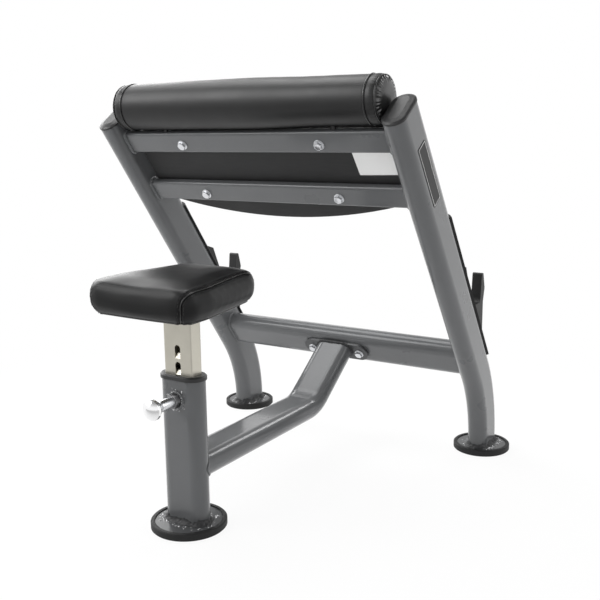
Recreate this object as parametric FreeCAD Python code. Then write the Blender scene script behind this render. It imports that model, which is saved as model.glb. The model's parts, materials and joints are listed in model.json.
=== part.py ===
import FreeCAD, Part
import math
import os

# Preacher curl bench with a sliding seat. Millimetres, +Z up, +Y the way the user faces.
# The origin lies on the floor, in the middle of the space that the bench takes up.

# Frame tube, a flat oval
tube_wide = 100.0
tube_thick = 50.0
tube_wall = 3.0

# Uprights: a short foot, a bend, and a straight run that leans back over the seat
upright_half_track = 368.0
upright_forward = 404.0
upright_lean = 35.8
upright_bend_radius = 350.0
upright_bend_height = 24.0
upright_straight = 760.0

# Caps in the uprights' tops
cap_overhang = 1.0
cap_edge = 3.5
cap_dome = 5.0
cap_dome_inset = 9.0
cap_plug_depth = 18.0
cap_plug_clearance = 0.2

# Feet: a steel plate in a rubber cup
foot_cup_height = 16.0
foot_cup_floor = 6.0
foot_cup_rim = 9.0
foot_cup_chamfer = 2.0
foot_plate_thick = 8.0
foot_plate_clearance = 0.2
upright_foot_margin = 20.5
seat_foot_margin = 30.0

# Heights along the leaning run are measured from the end of the uprights' bend
beam_rise = 34.0
bar_tall = 53.5
bar_deep = 20.0
bar_wall = 2.5
bar_corner = 7.0
upper_bar_rise = 702.5
lower_bar_rise = 560.2

# Arm pad: a board with its cushion wrapped round the edges
pad_side_gap = 8.0
pad_bottom_rise = 474.0
pad_top_rise = 723.5
pad_arc_radius = 1060.0
pad_corner = 30.0
pad_board_thick = 18.0
pad_board_inset = 4.0
pad_depth = 54.0
pad_back_draw_in = 1.5
pad_ridge_draw_in = 9.0
pad_crown = 12.0
pad_side_rings = 6
pad_crown_rings = 5
pad_crown_reach_share = 0.75
corner_floor_share = 0.2
soft_clearance = 0.3

# Fasteners of the arm pad
pad_bolt_spread = 361.0
pad_bolt_drop = 3.0
pad_bolt_diameter = 10.0
pad_bolt_head_flats = 17.0
pad_bolt_head_tall = 6.5
pad_washer_diameter = 24.0
pad_washer_thick = 2.0
bolt_hole_clearance = 0.5
tee_nut_barrel = 13.0
tee_nut_flange = 22.0
tee_nut_flange_thick = 1.6

# Arm roll: a stuffed cylinder on a tube, held by two straps on the upper bar
roll_above_bar = 71.0
roll_ahead_of_bar = 24.6
roll_diameter = 107.0
roll_end_diameter = 104.5
roll_side_gap = 7.0
roll_end_round = 14.0
roll_welt_from_end = 25.0
roll_seam_depth = 2.0
roll_seam_width = 5.0
roll_core_diameter = 32.0
roll_core_end_inset = 21.0
roll_core_wall = 2.5
strap_spread = 440.0
strap_thick = 8.0
strap_foot = 6.0

# Strips on the uprights' noses and the hooks that catch a bar
strip_thick = 6.0
strip_half_angle = 55.0
strip_low_rise = 8.0
strip_top_rise = 457.0
hook_thick = 24.0
hook_skin = 2.0
hook_root_depth = 12.0
hook_wedge = 16.0
hook_wedge_top_rise = 300.0
hook_wedge_peak_rise = 278.0
hook_wedge_low_rise = 212.0
bar_diameter = 30.0
bar_axis_height = 411.0
throat_width = 43.0
throat_back_round = 6.0
throat_front_round = 12.0
hook_lip_rise = 71.0
hook_lip_lean = 7.0
hook_lip_thick = 10.0
hook_lip_round = 4.0
hook_swell_rise = 33.0
hook_swell_thick = 28.0
hook_swell_round = 10.0
hook_front_thick = 19.0

# Badge plate on the right upright
badge_long = 145.0
badge_tall = 36.0
badge_thick = 1.0
badge_corner = 3.0
badge_rise = 607.0

# Strut from the cross beam to the seat post, with its flange
flange_long = 188.0
flange_tall = 56.0
flange_thick = 8.0
flange_rise = 36.0
flange_bolt_spread = 140.0
flange_nut_flats = 15.0
flange_nut_tall = 12.0
strut_side_inset = 0.5
strut_rise = 42.3
strut_height = 131.2
strut_bend_radius = 100.0

# Seat post and its guide sleeve
seat_post_setback = 736.0
seat_post_top = 321.0
collar_tall = 10.0
collar_overhang = 3.0
collar_round = 3.0
sleeve_depth = 92.0
sleeve_fit_clearance = 0.2
slide_clearance = 0.4

# Inner post with its row of notches
inner_wide = 71.0
inner_deep = 32.0
inner_wall = 2.5
inner_corner = 3.0
notch_count = 7
rest_notch = 4
notch_pitch = 35.0
notch_tall = 28.0
notch_clearance = 0.75
ramp_tall = 11.0
ramp_reach = 6.0
inner_tail = 24.0
plug_depth = 15.0
plug_edge = 3.0
plug_clearance = 0.2

# Spring plunger that locks the inner post
pin_drop = 41.0
pin_diameter = 12.5
pin_shaft_diameter = 8.0
pin_engagement = 8.5
pin_nose_length = 31.5
pin_clearance = 0.25
pin_chamfer = 1.0
housing_flats = 27.0
housing_hex_long = 17.0
housing_long = 52.0
housing_neck_diameter = 23.0
housing_end_wall = 3.5
spring_wire = 1.4
knob_gap = 0.3
knob_neck_diameter = 20.0
knob_diameter = 43.0
knob_flare_long = 18.0
knob_rim_long = 6.0
knob_dome_long = 11.0
knob_grip_depth = 20.0

# Seat: plate, board and cushion
seat_underside = 467.5
seat_plate_long = 150.0
seat_plate_wide = 150.0
seat_plate_thick = 6.0
seat_plate_corner = 12.0
seat_board_thick = 15.0
seat_board_inset = 31.0
seat_back_reach = 143.0
seat_front_reach = 145.0
seat_taper_setback = 70.0
seat_back_half_width = 136.0
seat_front_half_width = 98.0
seat_back_corner = 42.0
seat_side_corner = 75.0
seat_front_corner = 45.0
seat_depth = 66.5
seat_skirt = 4.5
seat_crown = 10.5
seat_foot_draw_in = 20.0
seat_ridge_draw_in = 10.5
seat_side_shares = ((0.0, 1.0), (0.1, 0.5), (0.3, 0.12), (0.6, 0.0))
seat_ridge_shares = ((0.85, 0.3), (1.0, 1.0))
seat_crown_shares = (0.9, 0.75, 0.6, 0.4, 0.2)
seat_bolt_spread = 130.0
seat_bolt_reach = 100.0
seat_bolt_diameter = 8.0
seat_bolt_head_flats = 13.0
seat_bolt_head_tall = 5.5
seat_tee_nut_barrel = 10.0
seat_tee_nut_flange = 20.0
seat_tee_nut_flange_thick = 1.5

# One overrun serves every cut
overrun = 1.0

# Directions and places that several pieces share
V = FreeCAD.Vector
x_axis = V(1, 0, 0)
y_axis = V(0, 1, 0)
z_axis = V(0, 0, 1)
lean = math.radians(upright_lean)
nose_radius = tube_thick / 2
nose_centre = tube_wide / 2 - nose_radius
inner_face = upright_half_track - tube_thick / 2
bar_back = -nose_centre
pad_back = bar_back + bar_deep
plate_top = foot_cup_floor + foot_plate_thick
upright_foot_diameter = tube_wide + 2 * upright_foot_margin
seat_foot_diameter = tube_wide + 2 * seat_foot_margin
post_y = upright_forward - seat_post_setback
pin_height = seat_post_top - pin_drop
bend_end_y = upright_forward - upright_bend_radius * (1 - math.cos(lean))
bend_end_z = upright_bend_height + upright_bend_radius * math.sin(lean)
lean_frame = FreeCAD.Placement(V(0, bend_end_y, bend_end_z), FreeCAD.Rotation(x_axis, upright_lean))
sides = (("left", -upright_half_track), ("right", upright_half_track))


def leaned(shape):
    """Puts a shape, made with X across, Y out of the pad and Z up the run, on the leaning run."""
    placed = shape.copy()
    placed.Placement = lean_frame
    return placed


def turned_yz(direction, degrees):
    """A direction in the YZ plane, turned about X."""
    return FreeCAD.Rotation(x_axis, degrees).multVec(direction)


def block(low, high):
    """A box between two opposite corners."""
    size = high - low
    return Part.makeBox(size.x, size.y, size.z, low)


def rod(diameter, length, base, axis):
    """A round bar."""
    return Part.makeCylinder(diameter / 2, length, base, axis)


def ring(outside, inside, length, base, axis):
    """A round bar with a bore right through it."""
    bore = rod(inside, length + 2 * overrun, base - axis * overrun, axis)
    return rod(outside, length, base, axis).cut(bore)


def hex_bar(flats, length, base, axis):
    """A hexagonal bar, two of its flats square to the tilted Z direction."""
    radius = flats / math.sqrt(3)
    corners = [V(radius * math.cos(math.radians(60 * k)), radius * math.sin(math.radians(60 * k)), 0)
               for k in range(7)]
    bar = Part.Face(Part.makePolygon(corners)).extrude(z_axis * length)
    bar.Placement = FreeCAD.Placement(base, FreeCAD.Rotation(z_axis, axis))
    return bar


def rounded_loop(corners, place):
    """A closed wire through corners (across, along, radius), each one rounded by a tangent arc."""
    edges = []
    arcs = []
    count = len(corners)
    for k, (across, along, radius) in enumerate(corners):
        corner = V(across, along, 0)
        before = V(*corners[k - 1][:2], 0) - corner
        after = V(*corners[(k + 1) % count][:2], 0) - corner
        before.normalize()
        after.normalize()
        half = before.getAngle(after) / 2
        reach = radius / math.tan(half)
        middle = (before + after).normalize()
        centre = corner + middle * (radius / math.sin(half))
        arcs.append((corner + before * reach, centre - middle * radius, corner + after * reach, radius))
    for k, (start, middle, end, radius) in enumerate(arcs):
        if radius > 0:
            edges.append(Part.Arc(place(start), place(middle), place(end)).toShape())
        edges.append(Part.makeLine(place(end), place(arcs[(k + 1) % count][0])))
    return Part.Wire(edges)


def rounded_box_loop(wide, deep, corner, centre):
    """A rounded rectangle, level, about a centre."""
    corners = [(wide / 2, -deep / 2, corner), (wide / 2, deep / 2, corner),
               (-wide / 2, deep / 2, corner), (-wide / 2, -deep / 2, corner)]
    return rounded_loop(corners, lambda point: centre + point)


def oval_loop(wide, deep, centre, wide_dir, deep_dir):
    """A flat oval: two straight sides along its longer direction, joined by half circles."""
    if deep > wide:
        return oval_loop(deep, wide, centre, deep_dir, wide_dir)
    radius = deep / 2
    straight = wide_dir * (wide / 2 - radius)
    side = deep_dir * radius
    tip = wide_dir * (wide / 2)
    return Part.Wire([
        Part.makeLine(centre - straight - side, centre + straight - side),
        Part.Arc(centre + straight - side, centre + tip, centre + straight + side).toShape(),
        Part.makeLine(centre + straight + side, centre - straight + side),
        Part.Arc(centre - straight + side, centre - tip, centre - straight - side).toShape()])


def oval_bar(wide, deep, base, wide_dir, deep_dir, run):
    """A solid flat oval bar along a run."""
    return Part.Face(oval_loop(wide, deep, base, wide_dir, deep_dir)).extrude(run)


def bent_bar(across, deep, start, direction, first, radius, turn, last):
    """A solid flat oval bar in the YZ plane: a straight run, a bend about X and another run."""
    side = turned_yz(direction, math.copysign(90, turn))
    bend_start = start + direction * first
    pivot = bend_start + side * radius
    face = Part.Face(oval_loop(across, deep, bend_start, x_axis, side))
    bend = face.revolve(pivot, x_axis, turn)
    bend_end = pivot + turned_yz(bend_start - pivot, turn)
    last_direction = turned_yz(direction, turn)
    last_side = turned_yz(side, turn)
    first_run = oval_bar(across, deep, start, x_axis, side, direction * first)
    last_run = oval_bar(across, deep, bend_end, x_axis, last_side, last_direction * last)
    return first_run.fuse([bend, last_run]).removeSplitter()


def spun(profile, base, axis):
    """A turned solid: a profile of wires in the XZ plane, turned about Z and set along an axis."""
    solid = Part.Face(profile).revolve(V(0, 0, 0), z_axis, 360)
    solid.Placement = FreeCAD.Placement(base, FreeCAD.Rotation(z_axis, axis))
    return solid


def both_bolts(spread):
    """The two places of a pair of bolts across the bench."""
    return (-spread / 2, spread / 2)


# Uprights, caps and feet

def upright_solid(x, wide, thick):
    foot = V(x, upright_forward, plate_top)
    return bent_bar(thick, wide, foot, z_axis, upright_bend_height - plate_top,
                    upright_bend_radius, upright_lean, upright_straight)


def upright(x):
    bore = upright_solid(x, tube_wide - 2 * tube_wall, tube_thick - 2 * tube_wall)
    return upright_solid(x, tube_wide, tube_thick).cut(bore)


def upright_cap(x):
    wide = tube_wide + 2 * cap_overhang
    thick = tube_thick + 2 * cap_overhang
    seat = V(x, 0, upright_straight)
    edge = oval_bar(wide, thick, seat, y_axis, x_axis, z_axis * cap_edge)
    loops = [oval_loop(wide, thick, seat + z_axis * cap_edge, y_axis, x_axis),
             oval_loop(wide - cap_dome_inset, thick - cap_dome_inset,
                       seat + z_axis * (cap_edge + cap_dome / 2), y_axis, x_axis),
             oval_loop(wide - 3 * cap_dome_inset, thick - 3 * cap_dome_inset,
                       seat + z_axis * (cap_edge + cap_dome), y_axis, x_axis)]
    dome = Part.makeLoft(loops, True, True)
    inset = 2 * (tube_wall + cap_plug_clearance)
    plug = oval_bar(tube_wide - inset, tube_thick - inset, seat, y_axis, x_axis, z_axis * -cap_plug_depth)
    return leaned(edge.fuse([dome, plug]).removeSplitter())


def foot_plate(x, y, diameter):
    plate = diameter - 2 * (foot_cup_rim + foot_plate_clearance)
    return rod(plate, foot_plate_thick, V(x, y, foot_cup_floor), z_axis)


def foot_cup(x, y, diameter):
    outside = rod(diameter, foot_cup_height, V(x, y, 0), z_axis)
    edges = [edge for edge in outside.Edges if len(edge.Vertexes) == 1]
    outside = outside.makeChamfer(foot_cup_chamfer, edges)
    recess = rod(diameter - 2 * foot_cup_rim, foot_cup_height, V(x, y, foot_cup_floor), z_axis)
    return outside.cut(recess)


# Cross beam and pad bars

beam_back = -tube_thick / 2
pad_bolt_hole = pad_bolt_diameter + 2 * bolt_hole_clearance


def cross_beam():
    start = V(-inner_face, 0, beam_rise)
    run = x_axis * (2 * inner_face)
    bore = oval_bar(tube_wide - 2 * tube_wall, tube_thick - 2 * tube_wall, start, z_axis, y_axis, run)
    beam = oval_bar(tube_wide, tube_thick, start, z_axis, y_axis, run).cut(bore)
    holes = [rod(pad_bolt_hole, tube_thick / 2 + overrun, V(x, beam_back - overrun, beam_rise), y_axis)
             for x in both_bolts(flange_bolt_spread)]
    return leaned(beam.cut(holes))


def bar_solid(inset, rise):
    """A rounded rectangular bar between the uprights, drawn in by an inset."""
    back = bar_back + inset
    front = pad_back - inset
    low = rise - bar_tall / 2 + inset
    high = rise + bar_tall / 2 - inset
    corner = bar_corner - inset
    corners = [(back, low, corner), (front, low, corner), (front, high, corner), (back, high, corner)]
    loop = rounded_loop(corners, lambda point: V(-inner_face, point.x, point.y))
    return Part.Face(loop).extrude(x_axis * (2 * inner_face))


def pad_bar(rise):
    holes = [rod(pad_bolt_hole, bar_deep + 2 * overrun,
                 V(x, bar_back - overrun, rise - pad_bolt_drop), y_axis)
             for x in both_bolts(pad_bolt_spread)]
    return leaned(bar_solid(0, rise).cut(bar_solid(bar_wall, rise)).cut(holes))


# Arm pad

pad_half_width = inner_face - pad_side_gap
tee_flange_back = pad_back + pad_board_thick - tee_nut_flange_thick
pad_bolt_places = [(x, rise - pad_bolt_drop) for rise in (upper_bar_rise, lower_bar_rise)
                   for x in both_bolts(pad_bolt_spread)]


def pad_loop(inset, depth):
    """Outline of the arm pad at a depth from the bars: straight top and sides, and an arc below."""
    level = pad_back + depth
    half = pad_half_width - inset
    top = pad_top_rise - inset
    arc = pad_arc_radius - inset
    corner = max(pad_corner - inset, pad_corner * corner_floor_share)
    pivot = V(0, level, pad_bottom_rise + pad_arc_radius)
    drop = math.sqrt((arc - corner) ** 2 - (half - corner) ** 2)
    low = pivot.z - drop
    swing = math.atan2(half - corner, drop)
    slant = corner * math.sqrt(0.5)

    def low_corner(sign):
        centre = V(sign * (half - corner), level, low)
        middle = (math.pi / 2 - swing) / 2
        return (V(sign * half, level, low),
                centre + V(sign * math.cos(middle), 0, -math.sin(middle)) * corner,
                pivot + V(sign * math.sin(swing), 0, -math.cos(swing)) * arc)

    def top_corner(sign):
        centre = V(sign * (half - corner), level, top - corner)
        return (centre + z_axis * corner, centre + V(sign * slant, 0, slant),
                centre + x_axis * (sign * corner))

    right_top = top_corner(1)
    left_top = top_corner(-1)
    right_low = low_corner(1)
    left_low = low_corner(-1)
    return Part.Wire([
        Part.makeLine(left_top[0], right_top[0]), Part.Arc(*right_top).toShape(),
        Part.makeLine(right_top[2], right_low[0]), Part.Arc(*right_low).toShape(),
        Part.Arc(right_low[2], pivot - z_axis * arc, left_low[2]).toShape(),
        Part.Arc(*reversed(left_low)).toShape(), Part.makeLine(left_low[0], left_top[2]),
        Part.Arc(*reversed(left_top)).toShape()])


def arm_pad_board():
    board = Part.Face(pad_loop(pad_board_inset, 0)).extrude(y_axis * pad_board_thick)
    sinks = [rod(tee_nut_flange, tee_nut_flange_thick, V(x, tee_flange_back, rise), y_axis)
             for x, rise in pad_bolt_places]
    holes = [rod(tee_nut_barrel, pad_board_thick, V(x, pad_back, rise), y_axis)
             for x, rise in pad_bolt_places]
    return leaned(board.cut(sinks + holes))


def arm_pad_cushion():
    loops = []
    for k in range(pad_side_rings + 1):
        share = k / pad_side_rings
        draw_in = pad_back_draw_in if k < pad_side_rings / 2 else pad_ridge_draw_in
        loops.append(pad_loop(draw_in * (2 * share - 1) ** 2, soft_clearance + pad_depth * share))
    reach = (pad_top_rise - pad_bottom_rise) / 2 * pad_crown_reach_share
    for k in range(1, pad_crown_rings + 1):
        share = k / pad_crown_rings
        loops.append(pad_loop(pad_ridge_draw_in + reach * share,
                              soft_clearance + pad_depth + pad_crown * (1 - (1 - share) ** 2)))
    pocket = Part.Face(pad_loop(pad_board_inset - soft_clearance, 0)).extrude(
        y_axis * (pad_board_thick + soft_clearance))
    return leaned(Part.makeLoft(loops, True, True).cut(pocket))


def pad_fasteners():
    bolts = []
    washers = []
    nuts = []
    for x, rise in pad_bolt_places:
        face = V(x, bar_back, rise)
        washers.append(ring(pad_washer_diameter, pad_bolt_diameter, pad_washer_thick,
                            face - y_axis * pad_washer_thick, y_axis))
        under_head = face - y_axis * pad_washer_thick
        shank = rod(pad_bolt_diameter, pad_washer_thick + bar_deep + pad_board_thick, under_head, y_axis)
        bolts.append(hex_bar(pad_bolt_head_flats, pad_bolt_head_tall,
                             under_head - y_axis * pad_bolt_head_tall, y_axis).fuse(shank))
        barrel = ring(tee_nut_barrel, pad_bolt_diameter, pad_board_thick, V(x, pad_back, rise), y_axis)
        flange = ring(tee_nut_flange, pad_bolt_diameter, tee_nut_flange_thick,
                      V(x, tee_flange_back, rise), y_axis)
        nuts.append(barrel.fuse(flange).removeSplitter())
    return [leaned(Part.makeCompound(group)) for group in (bolts, washers, nuts)]


# Arm roll

roll_rise = upper_bar_rise + roll_above_bar
roll_forward = pad_back + roll_ahead_of_bar
roll_centre = V(0, roll_forward, roll_rise)
roll_length = 2 * (inner_face - roll_side_gap)
roll_core_length = roll_length - 2 * roll_core_end_inset


def roll_core():
    start = roll_centre - x_axis * (roll_core_length / 2)
    bore = roll_core_diameter - 2 * roll_core_wall
    return leaned(ring(roll_core_diameter, bore, roll_core_length, start, x_axis))


def strap(x, spare):
    """One flat strap from the upper bar to the roll's tube, grown by a spare clearance."""
    top = upper_bar_rise + bar_tall / 2
    middle = (bar_back + pad_back) / 2
    corners = [(middle - strap_foot / 2 - spare, top, 0), (middle + strap_foot / 2 + spare, top, 0),
               (roll_forward + roll_core_diameter / 2, roll_rise - spare, 0),
               (roll_forward - roll_core_diameter / 2 - spare, roll_rise, 0)]
    loop = rounded_loop(corners, lambda point: V(x - strap_thick / 2 - spare, point.x, point.y))
    return Part.Face(loop).extrude(x_axis * (strap_thick + 2 * spare))


def roll_straps():
    tube = rod(roll_core_diameter, roll_core_length, roll_centre - x_axis * (roll_core_length / 2), x_axis)
    return leaned(Part.makeCompound([strap(x, 0).cut(tube) for x in both_bolts(strap_spread)]))


def arm_roll():
    half = roll_length / 2
    welt = half - roll_welt_from_end
    end = roll_end_diameter / 2
    seam = roll_seam_width / 2
    turn = roll_end_round * (1 - math.sqrt(0.5))

    def shoulder(sign):
        return Part.Arc(V(end - roll_end_round, 0, sign * half), V(end - turn, 0, sign * (half - turn)),
                        V(end, 0, sign * (half - roll_end_round))).toShape()

    def line(first, second):
        return Part.makeLine(V(first[0], 0, first[1]), V(second[0], 0, second[1]))

    profile = Part.Wire([
        line((0, -half), (end - roll_end_round, -half)), shoulder(-1),
        line((end, -half + roll_end_round), (end, -welt - seam)),
        line((end, -welt - seam), (end - roll_seam_depth, -welt)),
        line((end - roll_seam_depth, -welt), (end, -welt + seam)),
        Part.Arc(V(end, 0, -welt + seam), V(roll_diameter / 2, 0, 0), V(end, 0, welt - seam)).toShape(),
        line((end, welt - seam), (end - roll_seam_depth, welt)),
        line((end - roll_seam_depth, welt), (end, welt + seam)),
        line((end, welt + seam), (end, half - roll_end_round)), shoulder(1),
        line((end - roll_end_round, half), (0, half)), line((0, half), (0, -half))])
    roll = spun(profile, roll_centre, x_axis)
    bore_length = roll_core_length + 2 * soft_clearance
    bore = rod(roll_core_diameter + 2 * soft_clearance, bore_length,
               roll_centre - x_axis * (bore_length / 2), x_axis)
    under = pad_top_rise + soft_clearance
    pad_space = block(V(-half, pad_back, under - roll_diameter), V(half, pad_back + roll_diameter, under))
    seats = [bore, bar_solid(-soft_clearance, upper_bar_rise), pad_space]
    return leaned(roll.cut(seats + [strap(x, soft_clearance) for x in both_bolts(strap_spread)]))


# Strips and bar hooks on the uprights' noses

strip_front = tube_wide / 2 + strip_thick
hook_back = strip_front + hook_skin
throat_floor = bar_axis_height - bar_diameter / 2
throat_rise = (throat_floor - bend_end_z - hook_back * math.sin(lean)) / math.cos(lean)


def hook_point(level, forward):
    """A point out of the pad and up the run, from a level above the throat's floor and a level
    distance forward of its back."""
    return (hook_back + level * math.sin(lean) + forward * math.cos(lean),
            throat_rise + level * math.cos(lean) - forward * math.sin(lean))


def hook_solid(x):
    """Outline of a hook: a wedge above, the throat, its lip, and an arm down to the upright."""
    root = tube_wide / 2 - hook_root_depth
    lip = throat_width + hook_lip_lean
    front = throat_width + hook_front_thick
    front_level = (root - hook_back - front * math.cos(lean)) / math.sin(lean)
    corners = [(root, hook_wedge_top_rise, 0), (strip_front, hook_wedge_top_rise, 0),
               (strip_front + hook_wedge, hook_wedge_peak_rise, 0), (hook_back, hook_wedge_low_rise, 0),
               (*hook_point(0, 0), throat_back_round), (*hook_point(0, throat_width), throat_front_round),
               (*hook_point(hook_lip_rise, lip), hook_lip_round),
               (*hook_point(hook_lip_rise, lip + hook_lip_thick), hook_lip_round),
               (*hook_point(hook_swell_rise, throat_width + hook_swell_thick), hook_swell_round),
               (*hook_point(0, front), 0), (*hook_point(front_level, front), 0)]
    loop = rounded_loop(corners, lambda point: V(x - hook_thick / 2, point.x, point.y))
    return leaned(Part.Face(loop).extrude(x_axis * hook_thick))


def bar_hook(x):
    return hook_solid(x).cut(upright_solid(x, tube_wide, tube_thick))


def wear_strip(x):
    """A strip wrapped round the upright's nose, let in round the hook."""
    def at(radius, degrees):
        angle = math.radians(degrees)
        return V(x + radius * math.sin(angle), nose_centre + radius * math.cos(angle), strip_low_rise)

    outer = nose_radius + strip_thick
    loop = Part.Wire([
        Part.Arc(at(nose_radius, -strip_half_angle), at(nose_radius, 0),
                 at(nose_radius, strip_half_angle)).toShape(),
        Part.makeLine(at(nose_radius, strip_half_angle), at(outer, strip_half_angle)),
        Part.Arc(at(outer, strip_half_angle), at(outer, 0), at(outer, -strip_half_angle)).toShape(),
        Part.makeLine(at(outer, -strip_half_angle), at(nose_radius, -strip_half_angle))])
    strip = Part.Face(loop).extrude(z_axis * (strip_top_rise - strip_low_rise))
    return leaned(strip).cut(hook_solid(x))


def side_badge():
    corners = [(-badge_tall / 2, badge_rise - badge_long / 2, badge_corner),
               (badge_tall / 2, badge_rise - badge_long / 2, badge_corner),
               (badge_tall / 2, badge_rise + badge_long / 2, badge_corner),
               (-badge_tall / 2, badge_rise + badge_long / 2, badge_corner)]
    face_x = upright_half_track + tube_thick / 2
    loop = rounded_loop(corners, lambda point: V(face_x, point.x, point.y))
    return leaned(Part.Face(loop).extrude(x_axis * badge_thick))


# Strut and flange

strut_wide = tube_wide - 2 * strut_side_inset


def strut_flange():
    plate = oval_bar(flange_long, flange_tall, V(0, beam_back, flange_rise), x_axis, z_axis,
                     y_axis * -flange_thick)
    holes = [rod(pad_bolt_hole, flange_thick + 2 * overrun,
                 V(x, beam_back - flange_thick - overrun, beam_rise), y_axis)
             for x in both_bolts(flange_bolt_spread)]
    return leaned(plate.cut(holes))


def strut_solid(wide, thick):
    direction = turned_yz(-y_axis, upright_lean)
    start = lean_frame.multVec(V(0, beam_back - flange_thick, strut_rise))
    corner_run = (start.z - strut_height) / math.sin(lean)
    tangent = strut_bend_radius * math.tan(lean / 2)
    bend_y = start.y - corner_run * math.cos(lean) - tangent
    return bent_bar(wide, thick, start, direction, corner_run - tangent, strut_bend_radius,
                    -upright_lean, bend_y - post_y)


def seat_strut():
    bore = strut_solid(strut_wide - 2 * tube_wall, tube_thick - 2 * tube_wall)
    return strut_solid(strut_wide, tube_thick).cut([bore, seat_post_solid(tube_wide, tube_thick)])


def flange_fasteners():
    bolts = []
    washers = []
    nuts = []
    inside = beam_back + tube_wall
    for x in both_bolts(flange_bolt_spread):
        under_washer = V(x, beam_back - flange_thick, beam_rise)
        under_head = under_washer - y_axis * pad_washer_thick
        washers.append(ring(pad_washer_diameter, pad_bolt_diameter, pad_washer_thick, under_head, y_axis))
        shank = rod(pad_bolt_diameter, pad_washer_thick + flange_thick + tube_wall + flange_nut_tall,
                    under_head, y_axis)
        bolts.append(hex_bar(pad_bolt_head_flats, pad_bolt_head_tall,
                             under_head - y_axis * pad_bolt_head_tall, y_axis).fuse(shank))
        seat = V(x, inside, beam_rise)
        bore = rod(pad_bolt_diameter, flange_nut_tall + 2 * overrun, seat - y_axis * overrun, y_axis)
        nuts.append(hex_bar(flange_nut_flats, flange_nut_tall, seat, y_axis).cut(bore))
    return [leaned(Part.makeCompound(group)) for group in (bolts, washers, nuts)]


# Seat post, guide sleeve and plunger

post_back = post_y - tube_thick / 2
housing_bore = pin_diameter + 2 * pin_clearance
pin_tip = post_y - inner_deep / 2 + pin_engagement
shoulder_y = pin_tip - pin_nose_length
housing_end = post_back - housing_long
knob_start = housing_end - knob_gap


def seat_post_solid(wide, thick):
    run = z_axis * (seat_post_top - plate_top)
    return oval_bar(wide, thick, V(0, post_y, plate_top), x_axis, y_axis, run)


def pin_hole():
    return rod(housing_bore, tube_thick / 2 + overrun, V(0, post_back - overrun, pin_height), y_axis)


def seat_post():
    bore = seat_post_solid(tube_wide - 2 * tube_wall, tube_thick - 2 * tube_wall)
    return seat_post_solid(tube_wide, tube_thick).cut([bore, pin_hole()])


def guide_sleeve():
    """A plastic sleeve in the post's mouth, with a collar over its rim."""
    inset = 2 * (tube_wall + sleeve_fit_clearance)
    top = V(0, post_y, seat_post_top)
    sleeve = oval_bar(tube_wide - inset, tube_thick - inset, top, x_axis, y_axis, z_axis * -sleeve_depth)
    wide = tube_wide + 2 * collar_overhang
    thick = tube_thick + 2 * collar_overhang
    straight = z_axis * (collar_tall - collar_round)
    collar = oval_bar(wide, thick, top, x_axis, y_axis, straight)
    shoulder = Part.makeLoft([
        oval_loop(wide, thick, top + straight, x_axis, y_axis),
        oval_loop(wide - 2 * collar_round, thick - 2 * collar_round, top + z_axis * collar_tall,
                  x_axis, y_axis)], True, True)
    hole = rounded_box_loop(inner_wide + 2 * slide_clearance, inner_deep + 2 * slide_clearance,
                            inner_corner, top - z_axis * (sleeve_depth + overrun))
    hole = Part.Face(hole).extrude(z_axis * (sleeve_depth + collar_tall + 2 * overrun))
    return sleeve.fuse([collar, shoulder]).removeSplitter().cut([hole, pin_hole()])


def plunger_housing():
    face = V(0, post_back, pin_height)
    out = -y_axis
    neck = rod(housing_neck_diameter, housing_long, face, out)
    bore = rod(housing_bore, housing_long - housing_end_wall + overrun, face - out * overrun, out)
    shaft_hole = rod(pin_shaft_diameter + 2 * pin_clearance, housing_long + overrun, face, out)
    return hex_bar(housing_flats, housing_hex_long, face, out).fuse(neck).cut([bore, shaft_hole])


def plunger_pin():
    nose = rod(pin_diameter, pin_nose_length, V(0, pin_tip, pin_height), -y_axis)
    ends = sorted((edge for edge in nose.Edges if len(edge.Vertexes) == 1),
                  key=lambda edge: edge.CenterOfMass.y)
    nose = nose.makeChamfer(pin_chamfer, ends[-1:])
    shaft_long = shoulder_y - knob_start + knob_grip_depth
    return nose.fuse(rod(pin_shaft_diameter, shaft_long, V(0, shoulder_y, pin_height), -y_axis))


def plunger_spring():
    start = V(0, shoulder_y, pin_height)
    length = shoulder_y - housing_end - housing_end_wall
    inside = pin_shaft_diameter + 2 * pin_clearance
    return ring(inside + 2 * spring_wire, inside, length, start, -y_axis)


def pull_knob():
    flare = knob_flare_long
    rim = flare + knob_rim_long
    top = rim + knob_dome_long
    neck = knob_neck_diameter / 2
    wide = knob_diameter / 2
    bore = pin_shaft_diameter / 2
    dome_radius = (wide ** 2 + knob_dome_long ** 2) / (2 * knob_dome_long)
    dome_swing = math.asin(wide / dome_radius) / 2
    dome_centre = z_axis * (top - dome_radius)
    dome_middle = dome_centre + V(math.sin(dome_swing), 0, math.cos(dome_swing)) * dome_radius
    profile = Part.Wire([
        Part.makeLine(V(0, 0, knob_grip_depth), V(bore, 0, knob_grip_depth)),
        Part.makeLine(V(bore, 0, knob_grip_depth), V(bore, 0, 0)),
        Part.makeLine(V(bore, 0, 0), V(neck, 0, 0)),
        Part.makeLine(V(neck, 0, 0), V(wide, 0, flare)),
        Part.makeLine(V(wide, 0, flare), V(wide, 0, rim)),
        Part.Arc(V(wide, 0, rim), dome_middle, V(0, 0, top)).toShape(),
        Part.makeLine(V(0, 0, top), V(0, 0, knob_grip_depth))])
    return spun(profile, V(0, knob_start, pin_height), -y_axis)


# Inner post and seat

inner_top = seat_underside - seat_plate_thick
notch_width = pin_diameter + 2 * notch_clearance
notch_levels = [pin_height + notch_width / 2 + notch_pitch * (rest_notch - 1 - k)
                for k in range(notch_count)]
inner_bottom = notch_levels[-1] - notch_tall - inner_tail


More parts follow.
